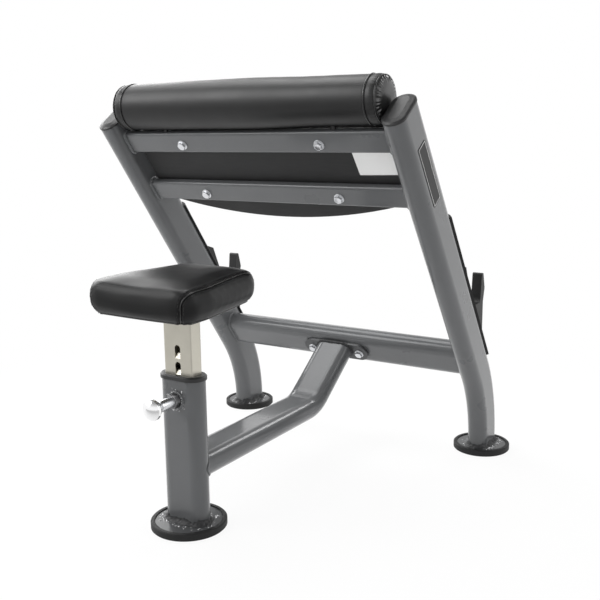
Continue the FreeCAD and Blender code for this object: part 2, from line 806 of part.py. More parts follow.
def inner_post():
    """Rectangular tube with ratchet notches, each with a ramp bent in from its lower edge."""
    foot = V(0, post_y, inner_bottom)
    run = z_axis * (inner_top - inner_bottom)
    tube = Part.Face(rounded_box_loop(inner_wide, inner_deep, inner_corner, foot)).extrude(run)
    bore = rounded_box_loop(inner_wide - 2 * inner_wall, inner_deep - 2 * inner_wall,
                            inner_corner - inner_wall, foot)
    tube = tube.cut(Part.Face(bore).extrude(run))
    back = post_y - inner_deep / 2
    notches = []
    ramps = []
    for top in notch_levels:
        low = top - notch_tall
        arch = rod(notch_width, inner_wall + overrun, V(0, back - overrun, top - notch_width / 2), y_axis)
        slot = block(V(-notch_width / 2, back - overrun, low),
                     V(notch_width / 2, back + inner_wall, top - notch_width / 2))
        notches.append(arch.fuse(slot))
        corners = [V(-notch_width / 2, back, low), V(-notch_width / 2, back + ramp_reach, low + ramp_tall),
                   V(-notch_width / 2, back + ramp_reach + inner_wall, low + ramp_tall),
                   V(-notch_width / 2, back + inner_wall, low), V(-notch_width / 2, back, low)]
        ramps.append(Part.Face(Part.makePolygon(corners)).extrude(x_axis * notch_width))
    return tube.cut(notches).fuse(ramps)


def post_end_plug():
    wide = inner_wide - 2 * (inner_wall + plug_clearance)
    deep = inner_deep - 2 * (inner_wall + plug_clearance)
    foot = V(0, post_y, inner_bottom)
    plug = Part.Face(rounded_box_loop(wide, deep, inner_corner - inner_wall, foot))
    edge = Part.Face(rounded_box_loop(inner_wide, inner_deep, inner_corner, foot))
    return plug.extrude(z_axis * plug_depth).fuse(edge.extrude(z_axis * -plug_edge))


seat_bolt_places = [(x, post_y + y) for x in both_bolts(seat_bolt_spread)
                    for y in both_bolts(seat_bolt_reach)]
seat_flange_low = seat_underside + seat_board_thick - seat_tee_nut_flange_thick


def seat_plate():
    plate = rounded_box_loop(seat_plate_wide, seat_plate_long, seat_plate_corner, V(0, post_y, inner_top))
    holes = [rod(seat_bolt_diameter + 2 * bolt_hole_clearance, seat_plate_thick + 2 * overrun,
                 V(x, y, inner_top - overrun), z_axis) for x, y in seat_bolt_places]
    return Part.Face(plate).extrude(z_axis * seat_plate_thick).cut(holes)


def seat_loop(inset, scale, height):
    """Outline of the seat, tapered to the front, drawn in by an inset and scaled about the post."""
    right = [(seat_back_half_width - inset, -seat_back_reach + inset, seat_back_corner - inset),
             (seat_back_half_width - inset, -seat_taper_setback, seat_side_corner),
             (seat_front_half_width - inset, seat_front_reach - inset, seat_front_corner - inset)]
    corners = right + [(-across, along, corner) for across, along, corner in reversed(right)]
    corners = [tuple(scale * size for size in corner) for corner in corners]
    return rounded_loop(corners, lambda point: V(0, post_y, height) + point)


def seat_board():
    board = Part.Face(seat_loop(seat_board_inset, 1, seat_underside)).extrude(z_axis * seat_board_thick)
    sinks = [rod(seat_tee_nut_flange, seat_tee_nut_flange_thick, V(x, y, seat_flange_low), z_axis)
             for x, y in seat_bolt_places]
    holes = [rod(seat_tee_nut_barrel, seat_board_thick, V(x, y, seat_underside), z_axis)
             for x, y in seat_bolt_places]
    return board.cut(sinks + holes)


def seat_cushion():
    """A crowned cushion with a rounded foot, which hangs a little below its board."""
    low = seat_underside - seat_skirt
    ridge = low + seat_depth
    loops = [seat_loop(seat_foot_draw_in * inset, 1, low + seat_depth * share)
             for share, inset in seat_side_shares]
    loops += [seat_loop(seat_ridge_draw_in * inset, 1, low + seat_depth * share)
              for share, inset in seat_ridge_shares]
    loops += [seat_loop(seat_ridge_draw_in, share, ridge + seat_crown * (1 - share ** 2))
              for share in seat_crown_shares]
    pocket = Part.Face(seat_loop(seat_board_inset - soft_clearance, 1, low - overrun)).extrude(
        z_axis * (overrun + seat_skirt + seat_board_thick + soft_clearance))
    return Part.makeLoft(loops, True, True).cut(pocket)


def seat_fasteners():
    bolts = []
    nuts = []
    for x, y in seat_bolt_places:
        under_head = V(x, y, inner_top)
        shank = rod(seat_bolt_diameter, seat_plate_thick + seat_board_thick, under_head, z_axis)
        bolts.append(hex_bar(seat_bolt_head_flats, seat_bolt_head_tall,
                             under_head - z_axis * seat_bolt_head_tall, z_axis).fuse(shank))
        barrel = ring(seat_tee_nut_barrel, seat_bolt_diameter, seat_board_thick,
                      V(x, y, seat_underside), z_axis)
        flange = ring(seat_tee_nut_flange, seat_bolt_diameter, seat_tee_nut_flange_thick,
                      V(x, y, seat_flange_low), z_axis)
        nuts.append(barrel.fuse(flange).removeSplitter())
    return [Part.makeCompound(group) for group in (bolts, nuts)]


# All pieces, one file each

def pieces():
    made = {}
    for side, x in sides:
        made[side + "_upright"] = upright(x)
        made[side + "_upright_cap"] = upright_cap(x)
        made[side + "_foot_plate"] = foot_plate(x, upright_forward, upright_foot_diameter)
        made[side + "_foot_cup"] = foot_cup(x, upright_forward, upright_foot_diameter)
        made[side + "_wear_strip"] = wear_strip(x)
        made[side + "_bar_hook"] = bar_hook(x)
    made["seat_foot_plate"] = foot_plate(0, post_y, seat_foot_diameter)
    made["seat_foot_cup"] = foot_cup(0, post_y, seat_foot_diameter)
    made["cross_beam"] = cross_beam()
    made["upper_pad_bar"] = pad_bar(upper_bar_rise)
    made["lower_pad_bar"] = pad_bar(lower_bar_rise)
    made["arm_pad_board"] = arm_pad_board()
    made["arm_pad_cushion"] = arm_pad_cushion()
    made["pad_bolts"], made["pad_washers"], made["pad_tee_nuts"] = pad_fasteners()
    made["arm_roll"] = arm_roll()
    made["roll_core"] = roll_core()
    made["roll_straps"] = roll_straps()
    made["side_badge"] = side_badge()
    made["strut_flange"] = strut_flange()
    made["seat_strut"] = seat_strut()
    made["flange_bolts"], made["flange_washers"], made["flange_nuts"] = flange_fasteners()
    made["seat_post"] = seat_post()
    made["guide_sleeve"] = guide_sleeve()
    made["plunger_housing"] = plunger_housing()
    made["plunger_pin"] = plunger_pin()
    made["plunger_spring"] = plunger_spring()
    made["pull_knob"] = pull_knob()
    made["inner_post"] = inner_post()
    made["post_end_plug"] = post_end_plug()
    made["seat_plate"] = seat_plate()
    made["seat_board"] = seat_board()
    made["seat_cushion"] = seat_cushion()
    made["seat_bolts"], made["seat_tee_nuts"] = seat_fasteners()
    return made


os.makedirs("parts", exist_ok=True)
for name, shape in pieces().items():
    shape.exportStep("parts/" + name + ".step")
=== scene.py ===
import json
import math
import random

import bmesh
import bpy
from mathutils import Matrix, Vector, noise
from mathutils.bvhtree import BVHTree
from mathutils.geometry import convex_hull_2d
from mathutils.kdtree import KDTree


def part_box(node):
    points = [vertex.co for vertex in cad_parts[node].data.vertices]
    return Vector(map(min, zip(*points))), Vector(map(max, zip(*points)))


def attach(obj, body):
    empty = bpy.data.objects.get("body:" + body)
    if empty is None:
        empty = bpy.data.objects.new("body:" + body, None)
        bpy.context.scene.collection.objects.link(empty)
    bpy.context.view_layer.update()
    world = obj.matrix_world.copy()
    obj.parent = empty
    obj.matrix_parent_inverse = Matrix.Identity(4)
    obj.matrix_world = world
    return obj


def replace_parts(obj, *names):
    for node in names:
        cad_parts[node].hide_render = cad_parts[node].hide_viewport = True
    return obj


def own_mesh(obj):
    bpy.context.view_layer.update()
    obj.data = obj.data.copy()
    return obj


# Looks of a preacher curl bench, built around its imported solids. Metres, +Z up, +Y the way the user faces.

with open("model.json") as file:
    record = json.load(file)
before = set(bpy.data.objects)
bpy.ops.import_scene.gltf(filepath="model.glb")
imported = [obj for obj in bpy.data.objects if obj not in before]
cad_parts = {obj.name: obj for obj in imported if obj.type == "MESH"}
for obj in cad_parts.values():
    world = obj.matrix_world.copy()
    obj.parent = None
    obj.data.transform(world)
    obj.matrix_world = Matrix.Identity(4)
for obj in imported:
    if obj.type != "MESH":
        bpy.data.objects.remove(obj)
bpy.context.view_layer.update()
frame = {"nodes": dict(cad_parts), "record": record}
cad = frame["nodes"]
scene = bpy.context.scene
mm = 0.001

# Camera, as fitted to the photograph
photo_pixels = 600
focal_pixels = 851.26
sensor_millimetres = 36.0
camera_place = Vector((1.08992, -1.61505, 0.80843))
camera_yaw = math.radians(32.22)
camera_pitch = math.radians(11.195)
camera_roll = math.radians(-0.65)


def make_camera():
    data = bpy.data.cameras.new("photo_camera")
    data.sensor_width = sensor_millimetres
    data.lens = focal_pixels / photo_pixels * sensor_millimetres
    camera = bpy.data.objects.new("photo_camera", data)
    turn = Matrix.Rotation(camera_yaw, 4, "Z") @ Matrix.Rotation(math.pi / 2 - camera_pitch, 4, "X")
    camera.matrix_world = Matrix.Translation(camera_place) @ turn @ Matrix.Rotation(camera_roll, 4, "Z")
    scene.collection.objects.link(camera)
    scene.camera = camera


# Materials

class Graph:
    """The shader nodes of a material or of the world, under construction."""

    def __init__(self, owner):
        owner.use_nodes = True
        self.tree = owner.node_tree
        self.shader = self.tree.nodes.get("Principled BSDF")
        self.coordinates = self.add("ShaderNodeTexCoord").outputs
        self.place = self.coordinates["Object"]

    def add(self, kind, **settings):
        node = self.tree.nodes.new(kind)
        for key, value in settings.items():
            setattr(node, key, value)
        return node

    def put(self, socket, value):
        """Links a socket to another one, or sets its value."""
        if isinstance(value, bpy.types.NodeSocket):
            self.tree.links.new(value, socket)
        else:
            socket.default_value = (*value, 1.0) if socket.type == "RGBA" else value

    def feed(self, node, **values):
        """Sets or links a node's inputs; underscores in a name stand for spaces."""
        for key, value in values.items():
            self.put(node.inputs[key.replace("_", " ")], value)

    def noise(self, scale, detail=3.0, roughness=0.55, stretch=None):
        """A noise field, which can be drawn out along an axis."""
        at = self.place
        if stretch:
            mapping = self.add("ShaderNodeMapping")
            self.feed(mapping, Vector=at, Scale=stretch)
            at = mapping.outputs["Vector"]
        node = self.add("ShaderNodeTexNoise")
        self.feed(node, Vector=at, Scale=scale, Detail=detail, Roughness=roughness)
        return node.outputs["Fac"]

    def cells(self, scale):
        node = self.add("ShaderNodeTexVoronoi")
        self.feed(node, Vector=self.place, Scale=scale)
        return node.outputs["Distance"]

    def spread(self, value, low, high, start=0.0, end=1.0, shape="LINEAR"):
        """Maps a value from start and end to low and high."""
        node = self.add("ShaderNodeMapRange", interpolation_type=shape)
        self.feed(node, Value=value, From_Min=start, From_Max=end, To_Min=low, To_Max=high)
        return node.outputs["Result"]

    def math(self, operation, first, second):
        node = self.add("ShaderNodeMath", operation=operation)
        self.put(node.inputs[0], first)
        self.put(node.inputs[1], second)
        return node.outputs["Value"]

    def vector(self, operation, *values):
        """A number worked out from vectors."""
        node = self.add("ShaderNodeVectorMath", operation=operation)
        for socket, value in zip(node.inputs, values):
            self.put(socket, value)
        return node.outputs["Value"]

    def mixed(self, share, first, second):
        """Two colours, mixed by a share."""
        node = self.add("ShaderNodeMix", data_type="RGBA")
        for k, value in ((0, share), (6, first), (7, second)):
            self.put(node.inputs[k], value)
        return node.outputs[2]

    def ray(self, kind):
        return self.add("ShaderNodeLightPath").outputs[kind]

    def rounded(self, radius):
        """Normals as if every edge were rounded by a radius."""
        node = self.add("ShaderNodeBevel", samples=4)
        self.feed(node, Radius=radius)
        return node.outputs["Normal"]

    def edge_wear_and_highlight(self, radius, rate, most):
        """A share of wear and painted edge highlight: 0 on flat faces, rising along convex and concave
        edges.
        """
        flat = self.add("ShaderNodeNewGeometry").outputs["Normal"]
        turned = self.math("SUBTRACT", 1.0, self.vector("DOT_PRODUCT", self.rounded(radius), flat))
        return self.math("MINIMUM", self.math("MULTIPLY", turned, rate), most)

    def bump(self, height, distance, strength, normal=None):
        node = self.add("ShaderNodeBump")
        self.feed(node, Height=height, Distance=distance, Strength=strength)
        if normal is not None:
            self.feed(node, Normal=normal)
        return node.outputs["Normal"]


looks = {}
paint_shades = ((0.107, 0.110, 0.113), (0.140, 0.144, 0.149), (0.165, 0.169, 0.175))
# Lighter colours along edges: worn paint and a painted edge highlight
worn_paint_and_highlight = (0.34, 0.345, 0.35)
worn_coat_and_highlight = (0.08, 0.08, 0.08)


def new_look(name):
    """The nodes of a new material, which is kept under its name."""
    looks[name] = bpy.data.materials.new(name)
    return Graph(looks[name])


def grey_paint(name, tone, coat):
    """Metallic grey coat: fine flake under a clear gloss, a slight orange peel, and lighter edges of worn
    paint and painted highlight.
    """
    g = new_look(name)
    dark, light, pale = [tuple(tone * c for c in colour) for colour in paint_shades]
    flake = g.spread(g.noise(2600.0, 1.0), 0.0, 1.0, 0.35, 0.65)
    cloud = g.spread(g.noise(7.0, 4.0), 0.0, 1.0, 0.3, 0.7)
    base = g.mixed(g.math("MULTIPLY", cloud, 0.25), g.mixed(flake, dark, light), pale)
    edge = g.rounded(0.0012)
    g.feed(g.shader, Base_Color=g.mixed(g.edge_wear_and_highlight(0.0015, 0.6, 0.35), base, worn_paint_and_highlight),
           Roughness=g.spread(cloud, 0.26, 0.34), Metallic=0.1, Specular_IOR_Level=0.15, Coat_Weight=coat,
           Coat_IOR=1.3, Coat_Roughness=0.13, Coat_Normal=edge,
           Normal=g.bump(g.noise(420.0, 2.0), 0.00004, 0.4, edge))


def weld_paint(name):
    """The same coat, dark and broken over a rough bead: burnt coat and, partly, painted shade in the hollow
    weld.
    """
    g = new_look(name)
    # Dark colours: burnt coat and painted shade in the weld's hollow
    soot_and_shade = g.spread(g.noise(260.0, 4.0, 0.65), 0.0, 1.0, 0.3, 0.7)
    g.feed(g.shader, Base_Color=g.mixed(soot_and_shade, (0.010, 0.010, 0.011), (0.045, 0.046, 0.048)),
           Roughness=g.spread(soot_and_shade, 0.55, 0.35), Specular_IOR_Level=0.35,
           Normal=g.bump(g.noise(900.0, 3.0), 0.0004, 0.6))


def vinyl(name, rough, specular, grain_strength):
    """Upholstery vinyl: a pebbled grain of small cells with soft creases and uneven gloss."""
    g = new_look(name)
    patch = g.noise(11.0, 3.0)
    grain = g.math("MULTIPLY", g.cells(620.0), 0.6)
    crease = g.math("MULTIPLY", g.noise(55.0, 5.0, 0.6), 0.8)
    g.feed(g.shader, Base_Color=g.mixed(patch, (0.0045, 0.0045, 0.0047), (0.0085, 0.0085, 0.0088)),
           Roughness=g.spread(patch, *rough, 0.3, 0.7), Specular_IOR_Level=specular,
           Normal=g.bump(g.math("ADD", grain, crease), 0.0003, grain_strength))


def black_coat(name):
    """Black powder coat on steel, lighter along its edges where it is rubbed and where a highlight is
    painted.
    """
    g = new_look(name)
    tone = g.noise(60.0, 4.0)
    base = g.mixed(tone, (0.006, 0.006, 0.0063), (0.013, 0.013, 0.0135))
    # Lighter edges: rubbed coat and a painted edge highlight
    g.feed(g.shader, Base_Color=g.mixed(g.edge_wear_and_highlight(0.0012, 0.4, 0.25), base, worn_coat_and_highlight),
           Roughness=g.spread(tone, 0.42, 0.56), Specular_IOR_Level=0.4,
           Normal=g.bump(g.noise(700.0, 2.0), 0.0001, 0.5, g.rounded(0.0015)))


def plain(name, dark, light, rough, tone, gloss=None, relief=None, depth=0.0001, strength=0.4,
          specular=0.5, edge=None):
    """A surface whose colour, gloss and relief follow noise fields; all follow the tone's by default."""
    g = new_look(name)
    height = g.noise(*(relief or tone))
    g.feed(g.shader, Base_Color=g.mixed(g.noise(*tone), dark, light),
           Roughness=g.spread(g.noise(*(gloss or tone)), *rough), Specular_IOR_Level=specular,
           Normal=g.bump(height, depth, strength, g.rounded(edge) if edge else None))


def metal(name, dark, light, rough, grain_scale, edge_radius, stretch=None):
    """Bare or plated metal with a fine grain, which can be drawn out along an axis."""
    g = new_look(name)
    grain = g.noise(grain_scale, 3.0, 0.55, stretch)
    stain = g.noise(30.0, 4.0)
    g.feed(g.shader, Base_Color=g.mixed(stain, dark, light), Metallic=1.0,
           Roughness=g.spread(g.math("ADD", grain, stain), *rough, 0.7, 1.3),
           Normal=g.bump(grain, 0.00004, 0.35, g.rounded(edge_radius)))


def make_looks():
    grey_paint("grey_paint", 1.0, 1.0)
    # A darker, less glossy copy of the same coat for the plates and flange: painted shade
    grey_paint("shaded_plate_paint", 0.6, 0.4)
    weld_paint("weld_paint")
    vinyl("black_vinyl", (0.38, 0.46), 0.5, 0.2)
    vinyl("gathered_vinyl", (0.28, 0.36), 0.65, 0.1)
    vinyl("seat_vinyl", (0.36, 0.43), 0.24, 0.06)
    black_coat("black_coat")
    plain("black_piping", (0.005, 0.005, 0.0052), (0.011, 0.011, 0.0112), (0.16, 0.24), (90.0, 3.0),
          relief=(800.0, 2.0), specular=0.6)
    plain("seam_thread", (0.012, 0.012, 0.0125), (0.03, 0.03, 0.031), (0.45, 0.6), (1500.0, 2.0),
          strength=0.6)
    plain("black_rubber", (0.007, 0.007, 0.0073), (0.015, 0.015, 0.0155), (0.5, 0.66), (38.0, 5.0, 0.6),
          relief=(1300.0, 3.0), depth=0.00012, strength=0.5, specular=0.3, edge=0.0015)
    plain("black_plastic", (0.014, 0.014, 0.0145), (0.024, 0.024, 0.025), (0.34, 0.46), (24.0, 3.0),
          relief=(1700.0, 2.0), depth=0.00012, strength=0.5, edge=0.001)
    plain("dark_board", (0.019, 0.019, 0.0194), (0.031, 0.031, 0.0315), (0.58, 0.72),
          (240.0, 4.0, 0.6, (0.12, 1.0, 1.0)), gloss=(9.0, 3.0), depth=0.00015, specular=0.35)
    plain("paper_label", (0.88, 0.88, 0.875), (0.96, 0.96, 0.95), (0.55, 0.7),
          (900.0, 4.0, 0.6, (0.2, 1.0, 1.0)), gloss=(60.0, 3.0), relief=(60.0, 3.0), depth=0.0006,
          strength=0.3)
    plain("badge_plate", (0.008, 0.008, 0.0084), (0.013, 0.013, 0.0135), (0.34, 0.44), (300.0, 3.0),
          depth=0.00004, specular=0.28)
    metal("zinc_steel", (0.62, 0.63, 0.65), (0.80, 0.81, 0.83), (0.22, 0.36), 900.0, 0.0006)
    metal("satin_nickel", (0.56, 0.535, 0.465), (0.66, 0.635, 0.555), (0.30, 0.44), 700.0, 0.001,
          (1.0, 1.0, 0.05))
    metal("dark_steel", (0.16, 0.16, 0.165), (0.32, 0.32, 0.325), (0.32, 0.5), 500.0, 0.001)
    metal("bright_chrome", (0.92, 0.92, 0.925), (0.97, 0.97, 0.975), (0.12, 0.2), 400.0, 0.001)
    metal("weld_metal", (0.55, 0.55, 0.56), (0.9, 0.9, 0.91), (0.16, 0.3), 600.0, 0.0004)


def paint_nodes():
    """Every solid gets the look that its slot in the record names, but the foot plates and the strut's
    flange get a darker copy of the grey coat, as painted shade.
    """
    plates = ("strut_flange", "left_foot_plate", "right_foot_plate", "seat_foot_plate")
    for part in frame["record"]["subparts"]:
        data = cad[part["node"]].data
        data.materials.clear()
        look = "shaded_plate_paint" if part["node"] in plates else part["material_slot"]
        data.materials.append(looks[look])


# Places in the frame: X across, out of the arm pad's back, and up the uprights' leaning run

upright_lean = math.radians(35.8)
lean_cos = math.cos(upright_lean)
lean_sin = math.sin(upright_lean)
x_axis = Vector((1, 0, 0))
y_axis = Vector((0, 1, 0))
z_axis = Vector((0, 0, 1))
out_axis = Vector((0, lean_cos, lean_sin))
up_axis = Vector((0, -lean_sin, lean_cos))


def to_lean(point):
    """A point as its places across, out and up."""
    return Vector((point.x, point.dot(out_axis), point.dot(up_axis)))


def from_lean(across, out, up):
    return x_axis * across + out_axis * out + up_axis * up


def box_of(points):
    """Lowest and highest corner of some points."""
    return (Vector([min(p[k] for p in points) for k in range(3)]),
            Vector([max(p[k] for p in points) for k in range(3)]))


def lean_box(node):
    return box_of([to_lean(v.co) for v in cad[node].data.vertices])


def solid_mesh(node):
    """A node's mesh with its faces joined along their edges."""
    bm = bmesh.new()
    bm.from_mesh(cad[node].data)
    bmesh.ops.remove_doubles(bm, verts=bm.verts, dist=0.01 * mm)
    bm.verts.index_update()
    return bm


def islands(node):
    """The points of each separate solid in a node."""
    bm = solid_mesh(node)
    left = set(bm.verts)
    groups = []
    while left:
        reached = [left.pop()]
        for vert in reached:
            for edge in vert.link_edges:
                other = edge.other_vert(vert)
                if other in left:
                    left.remove(other)
                    reached.append(other)
        groups.append([vert.co.copy() for vert in reached])
    bm.free()
    return sorted(groups, key=lambda group: tuple(round(c, 4) for c in box_of(group)[0]))


def sharp_loop(node, keep):
    """The longest chain of a node's sharp edges, among the points that pass a test."""
    bm = solid_mesh(node)
    sharp = math.radians(35)
    links = {}
    for edge in bm.edges:
        first, second = edge.verts
        turned = len(edge.link_faces) == 2 and edge.calc_face_angle() > sharp
        if turned and keep(first.co) and keep(second.co):
            links.setdefault(first.index, []).append(second.index)
            links.setdefault(second.index, []).append(first.index)
    places = [v.co.copy() for v in bm.verts]
    bm.free()
    loops = []
    left = set(links)
    while left:
        chain = [min(left)]
        left.discard(chain[0])
        following = [n for n in links[chain[0]] if n in left]
        while following:
            chain.append(following[0])
            left.discard(following[0])
            following = [n for n in links[following[0]] if n in left]
        loops.append([places[n] for n in chain])
    return max(loops, key=loop_length)


# Paths

def loop_length(loop):
    return sum((b - a).length for a, b in zip(loop, loop[1:] + loop[:1]))


def resampled(path, step, closed):
    """Evenly spaced points along a path."""
    corners = path + path[:1] if closed else list(path)
    lengths = [(b - a).length for a, b in zip(corners, corners[1:])]
    count = max(2, round(sum(lengths) / step))
    pitch = sum(lengths) / count
    points = []
    k = 0
    passed = 0.0
    for n in range(count if closed else count + 1):
        wanted = n * pitch
        while k < len(lengths) - 1 and passed + lengths[k] < wanted:
            passed += lengths[k]
            k += 1
        share = min(1.0, (wanted - passed) / max(lengths[k], 1e-9))
        points.append(corners[k].lerp(corners[k + 1], share))
    return points


def rounded_run(corners, radius):
    """A flat open path through corners, the inner ones rounded."""
    steps = 8
    path = [Vector(corners[0])]
    for before, corner, after in zip(corners, corners[1:], corners[2:]):
        corner = Vector(corner)
        start = corner + (Vector(before) - corner).normalized() * radius
        end = corner + (Vector(after) - corner).normalized() * radius
        for k in range(steps + 1):
            t = k / steps
            path.append(start.lerp(corner, t).lerp(corner.lerp(end, t), t))
    path.append(Vector(corners[-1]))
    return path


def ripple(seed, waves, shortest, longest):
    """A smooth uneven function of a length, within about plus and minus 1."""
    draw = random.Random(seed)
    terms = [(2 * math.pi / draw.uniform(shortest, longest), draw.uniform(0, 2 * math.pi))
             for _ in range(waves)]
    return lambda place: sum(math.sin(rate * place + phase) for rate, phase in terms) / math.sqrt(waves)


# Meshes

def circle(middle, side, other, radius, sides):
    """Points round a circle, from two directions across it."""
    turns = [2 * math.pi * n / sides for n in range(sides)]
    return [middle + (side * math.cos(a) + other * math.sin(a)) * radius for a in turns]


def rounded_ring(corner, first, second, radius):
    """A rectangle with rounded corners, from one of its corners and two edges."""
    steps = 6
    along = first.normalized()
    across = second.normalized()
    far = first.length - radius
    high = second.length - radius
    ring = []
    for x, y, start in ((radius, radius, 180), (far, radius, 270), (far, high, 0), (radius, high, 90)):
        for k in range(steps + 1):
            angle = math.radians(start + 90 * k / steps)
            ring.append(corner + along * (x + radius * math.cos(angle))
                        + across * (y + radius * math.sin(angle)))
    return ring


class Shell:
    """Points and faces of a mesh under construction."""

    def __init__(self):
        self.points = []
        self.faces = []

    def ring(self, points):
        """Adds points and returns their numbers."""
        start = len(self.points)
        self.points.extend(points)
        return list(range(start, len(self.points)))

    def band(self, first, second):
        """Joins two rings of as many points."""
        count = len(first)
        for k in range(count):
            j = (k + 1) % count
            self.faces.append((first[k], first[j], second[j], second[k]))

    def skin(self, rings, around=False):
        """Adds rings and joins each to the next, and the last to the first where they go around."""
        made = [self.ring(points) for points in rings]
        for first, second in zip(made, made[1:] + made[:1] if around else made[1:]):
            self.band(first, second)
        return made

    def fan(self, ring, tip):
        """Closes a ring with triangles to a tip."""
        end = self.ring([tip])[0]
        for k in range(len(ring)):
            self.faces.append((ring[k], ring[(k + 1) % len(ring)], end))

    def tube(self, path, radius, sides=8, closed=False):
        """A tube along a path; radius is a function of the length along it."""
        count = len(path)
        side = None
        rings = []
        along = 0.0
        for k, place in enumerate(path):
            before = path[k - 1] if closed or k > 0 else place
            after = path[(k + 1) % count] if closed or k < count - 1 else place
            tangent = (after - before).normalized()
            if side is None:
                side = tangent.orthogonal()
            side = (side - tangent * side.dot(tangent)).normalized()
            rings.append(circle(place, side, tangent.cross(side), radius(along), sides))
            along += (path[(k + 1) % count] - place).length
        made = self.skin(rings)
        if closed:
            last = made[-1]
            shift = min(range(sides), key=lambda n: (rings[-1][n] - rings[0][0]).length)
            self.band(last[shift:] + last[:shift], made[0])
        else:
            self.fan(made[0], path[0])
            self.fan(made[-1], path[-1])

    def lathe(self, profile, base, axis, sides):
        """Spins a closed profile of (radius, height) points round an axis."""
        side = axis.orthogonal().normalized()
        other = axis.cross(side)
        self.skin([circle(base + axis * height, side, other, radius, sides)
                   for radius, height in profile], True)

    def dome(self, base, axis, radius, height):
        """A small lump on a face, with its foot sunk in."""
        sides = 7
        sunk = 0.2
        side = axis.orthogonal().normalized()
        other = axis.cross(side)
        made = self.skin([circle(base + axis * (height * rise), side, other, radius * size, sides)
                          for size, rise in ((1.0, -sunk), (0.92, 0.35), (0.6, 0.8))])
        self.fan(made[-1], base + axis * height)
        self.fan(made[0], base - axis * (sunk * height))


def link_piece(name, mesh, look):
    mesh.materials.clear()
    mesh.materials.append(looks[look])
    piece = bpy.data.objects.new(name, mesh)
    scene.collection.objects.link(piece)
    return piece


def finished(piece, body):
    """Smooth shading and a body to ride on."""
    piece.data.shade_smooth()
    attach(piece, body)
    return piece


def piece_from(name, shell, look, body, crisp=False):
    """A piece from a shell; a crisp one keeps its sharp edges."""
    mesh = bpy.data.meshes.new(name)
    mesh.from_pydata([tuple(p) for p in shell.points], [], shell.faces)
    bm = bmesh.new()
    bm.from_mesh(mesh)
    bmesh.ops.recalc_face_normals(bm, faces=bm.faces)
    bm.to_mesh(mesh)
    bm.free()
    piece = finished(link_piece(name, mesh, look), body)
    if crisp:
        mesh.set_sharp_from_angle(angle=math.radians(32))
    return piece


# Padded pieces

piping_radius = 1.8 * mm
seam_step = 3 * mm
seam_width = 3.2 * mm
seam_lip = 0.8 * mm
stitch_margin = 6 * mm
stitch_long = 4.2 * mm
stitch_pitch = 6.2 * mm
stitch_thick = 0.4 * mm
stitch_rise = 0.15 * mm

def outer_form(name, node, look):
    """A new piece with a node's outer form, its pockets and recesses closed."""
    bm = bmesh.new()
    for vert in cad[node].data.vertices:
        bm.verts.new(vert.co)
    hull = bmesh.ops.convex_hull(bm, input=bm.verts)
    loose = {v for v in hull["geom_interior"] + hull["geom_unused"] if isinstance(v, bmesh.types.BMVert)}
    bmesh.ops.delete(bm, geom=list(loose), context="VERTS")
    mesh = bpy.data.meshes.new(name)
    bm.to_mesh(mesh)
    bm.free()
    return link_piece(name, mesh, look)


def baked(piece):
    """Takes a piece's modifiers into its mesh."""
    shaped = piece.evaluated_get(bpy.context.evaluated_depsgraph_get())
    mesh = bpy.data.meshes.new_from_object(shaped)
    old = piece.data
    piece.modifiers.clear()
    piece.data = mesh
    bpy.data.meshes.remove(old)
    mesh.name = piece.name


def shrunk(piece, fixed, amount, reaches):
    """Draws a piece in towards a fixed point, by an amount along each direction and its reach."""
    scale = Matrix.Identity(3)
    for axis, reach in reaches:
        scale = Matrix.Scale(1 - amount / reach, 3, axis) @ scale
    for vert in piece.data.vertices:
        vert.co = fixed + scale @ (vert.co - fixed)


def evened(piece, voxel, rounds):
    """Gives a piece an even mesh and smooths it a little."""
    even = piece.modifiers.new("even", "REMESH")
    even.mode = "VOXEL"
    even.voxel_size = voxel
    soft = piece.modifiers.new("soft", "SMOOTH")
    soft.factor = 0.5
    soft.iterations = rounds
    baked(piece)


def calmed(mesh, steps, rounds):
    """Evens out the steps of a mesh's points, each with its neighbours."""
    near = [[] for _ in steps]
    for edge in mesh.edges:
        first, second = edge.vertices
        near[first].append(second)
        near[second].append(first)
    for _ in range(rounds):
        steps = [(step + sum((steps[n] for n in around), Vector())) / (len(around) + 1)
                 for step, around in zip(steps, near)]
    return steps


def blown_up(piece, held, pressure, cap):
    """Swells a piece as stuffed cloth, its held points fixed and the others kept within a cap."""
    rest = [v.co.copy() for v in piece.data.vertices]
    group = piece.vertex_groups.new(name="held")
    group.add([k for k, place in enumerate(rest) if held(place)], 1.0, "REPLACE")
    cloth = piece.modifiers.new("cloth", "CLOTH").settings
    cloth.use_pressure = True
    cloth.uniform_pressure_force = pressure
    cloth.vertex_group_mass = "held"
    cloth.effector_weights.gravity = 0.0
    for step in range(1, 21):
        scene.frame_set(step)
    swollen = piece.evaluated_get(bpy.context.evaluated_depsgraph_get()).data
    moved = [v.co.copy() for v in swollen.vertices]
    piece.modifiers.clear()
    piece.vertex_groups.clear()
    scene.frame_set(1)
    steps = []
    for start, end in zip(rest, moved):
        step = end - start
        steps.append(step * min(1.0, cap / max(step.length, 1e-9)))
    for vert, start, step in zip(piece.data.vertices, rest, calmed(piece.data, steps, 24)):
        vert.co = start + step


def refined(piece):
    finer = piece.modifiers.new("finer", "SUBSURF")
    finer.levels = 1
    finer.render_levels = 1
    baked(piece)


def skin_of(piece):
    """A search tree of a pad's surface."""
    mesh = piece.data
    return BVHTree.FromPolygons([v.co for v in mesh.vertices], [p.vertices for p in mesh.polygons])


